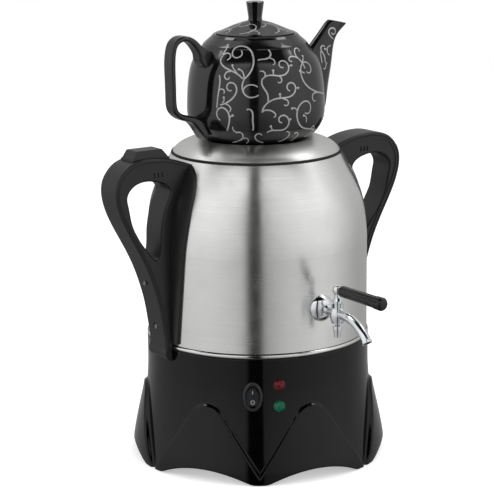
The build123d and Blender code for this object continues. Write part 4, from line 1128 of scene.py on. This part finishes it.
@dataclass
class HandleSeamShadows:
    """A dark rubber thread along both sides of each handle, in the step beside its rounded edge, which paints
    the shade of that step, in millimetres.
    """
    depth: float = 3.1
    half_width: float = 14.95
    thickness: float = 0.8
    corners: int = 6
    steps: int = 110
    # Where along the outline it starts, counted in its points, clear of the tank.
    start: float = 0.25
    # The handle's outer outline in its side view, from the tank's shoulder over the loop to the base.
    outer: Pairs = (
        (82.0, 292.6), (92.5, 296.4), (106, 300.2), (119, 302.0), (130.5, 302.2), (142, 300.2),
        (150.5, 296.4), (157.3, 290.0), (161.8, 282.5), (163.5, 273.5), (161.8, 260.5), (154.8, 242.5),
        (142, 219), (131.4, 197.5), (123.7, 176), (118.7, 156.3), (115.4, 136.4), (114.2, 118.2))

    def path(self) -> Points:
        """Gives the points of the seam in the side view of the handle.

        Returns:
            The points, from the tank to the base.
        """
        across = tuple((k, p[0]) for k, p in enumerate(self.outer))
        upward = tuple((k, p[1]) for k, p in enumerate(self.outer))
        last = len(self.outer) - 1
        edge = []
        for step in range(self.steps + 1):
            where = self.start + (last - self.start) * step / self.steps
            edge.append(Vector((smooth_through(across, where), 0, smooth_through(upward, where))))
        seam = []
        for here, there in zip(edge, edge[1:]):
            along = (there - here).normalized()
            seam.append(here + Vector((along.z, 0, -along.x)) * self.depth)
        return seam

    def build(self, workshop: Workshop) -> None:
        """Lays one closed thread of painted shade along each side of both handles.

        Args:
            workshop: Where the material comes from.
        """
        seam = self.path()
        last = len(seam) - 1
        for handle, way in (("right", 1), ("left", -1)):
            for face, side in (("front", -1), ("back", 1)):
                points: Points = []
                for number, place in enumerate(seam):
                    along = (seam[min(number + 1, last)] - seam[max(number - 1, 0)]).normalized()
                    centre = Vector((way * place.x, side * self.half_width, place.z))
                    points += circle(centre, Vector((way * along.z, 0, -along.x)), BACKWARD,
                                     self.thickness, self.corners)
                piece = mesh_object(f"handle_seam_shadow_{handle}_{face}", points, skin(0, len(seam), self.corners))
                # Black rubber here paints the shade in the step between cover and core.
                workshop.hand_over(piece, RUBBER, "samovar", "black_rubber")


@dataclass
class HandleScrews:
    """The four screws that hold the covers of the handles, sunk in their wells, in millimetres."""
    # Reach from the main axis and height of the mouth of each well.
    spots: Pairs = ((129.0, 182.5), (117.6, 139.2))
    # Depth below the mouth and radius, from the floor of the socket round the head to the end of the shank.
    profile: Pairs = (
        (2.1, 1.05), (1.65, 1.15), (1.5, 1.75), (1.7, 2.1), (2.15, 2.1), (2.2, 1.65), (10.2, 1.65))
    sides: int = 24

    def build(self, workshop: Workshop) -> None:
        """Turns the four screws and stands them for the solid.

        Args:
            workshop: Where the material comes from.
        """
        points: Points = []
        faces: Faces = []
        for reach, height in self.spots:
            for way in (1, -1):
                faces += skin(len(points), len(self.profile), self.sides)
                for depth, radius in self.profile:
                    centre = Vector((way * (reach - depth), 0, height))
                    points += circle(centre, BACKWARD, UP, radius, self.sides)
        piece = mesh_object("sunk_screws", points, faces, smooth=False)
        workshop.hand_over(piece, ZINC, "samovar", "zinc_steel", "handle_screws")


@dataclass
class CoilSpring:
    """The spring under the lid's button, which stands in its socket and moves with the button."""
    node: str = "button_spring"
    joint: str = "lid_button_press"
    travel: float = 3.0

    def build(self, workshop: Workshop) -> None:
        """Copies the solid, dresses the copy and fixes it to the button.

        Args:
            workshop: Where the material comes from.
        """
        piece = add_object("coil_spring", frame["nodes"][self.node].data.copy())
        workshop.hand_over(piece, ZINC, "button", "zinc_steel", self.node)
        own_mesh(piece)


def main() -> None:
    """Builds the studio, dresses the solids and adds the finer pieces."""
    logging.basicConfig(level=logging.INFO, format="%(message)s")
    Studio().build()
    workshop = Workshop()
    workshop.dress_nodes()
    for part in (BaseShell(), *LAMPS, SwitchMarks(), *SEAM_SHADOW_RINGS, HandleSeamShadows(), HandleScrews(), CoilSpring(),
                 *SCROLLWORKS):
        part.build(workshop)


if __name__ == "__main__":
    main()
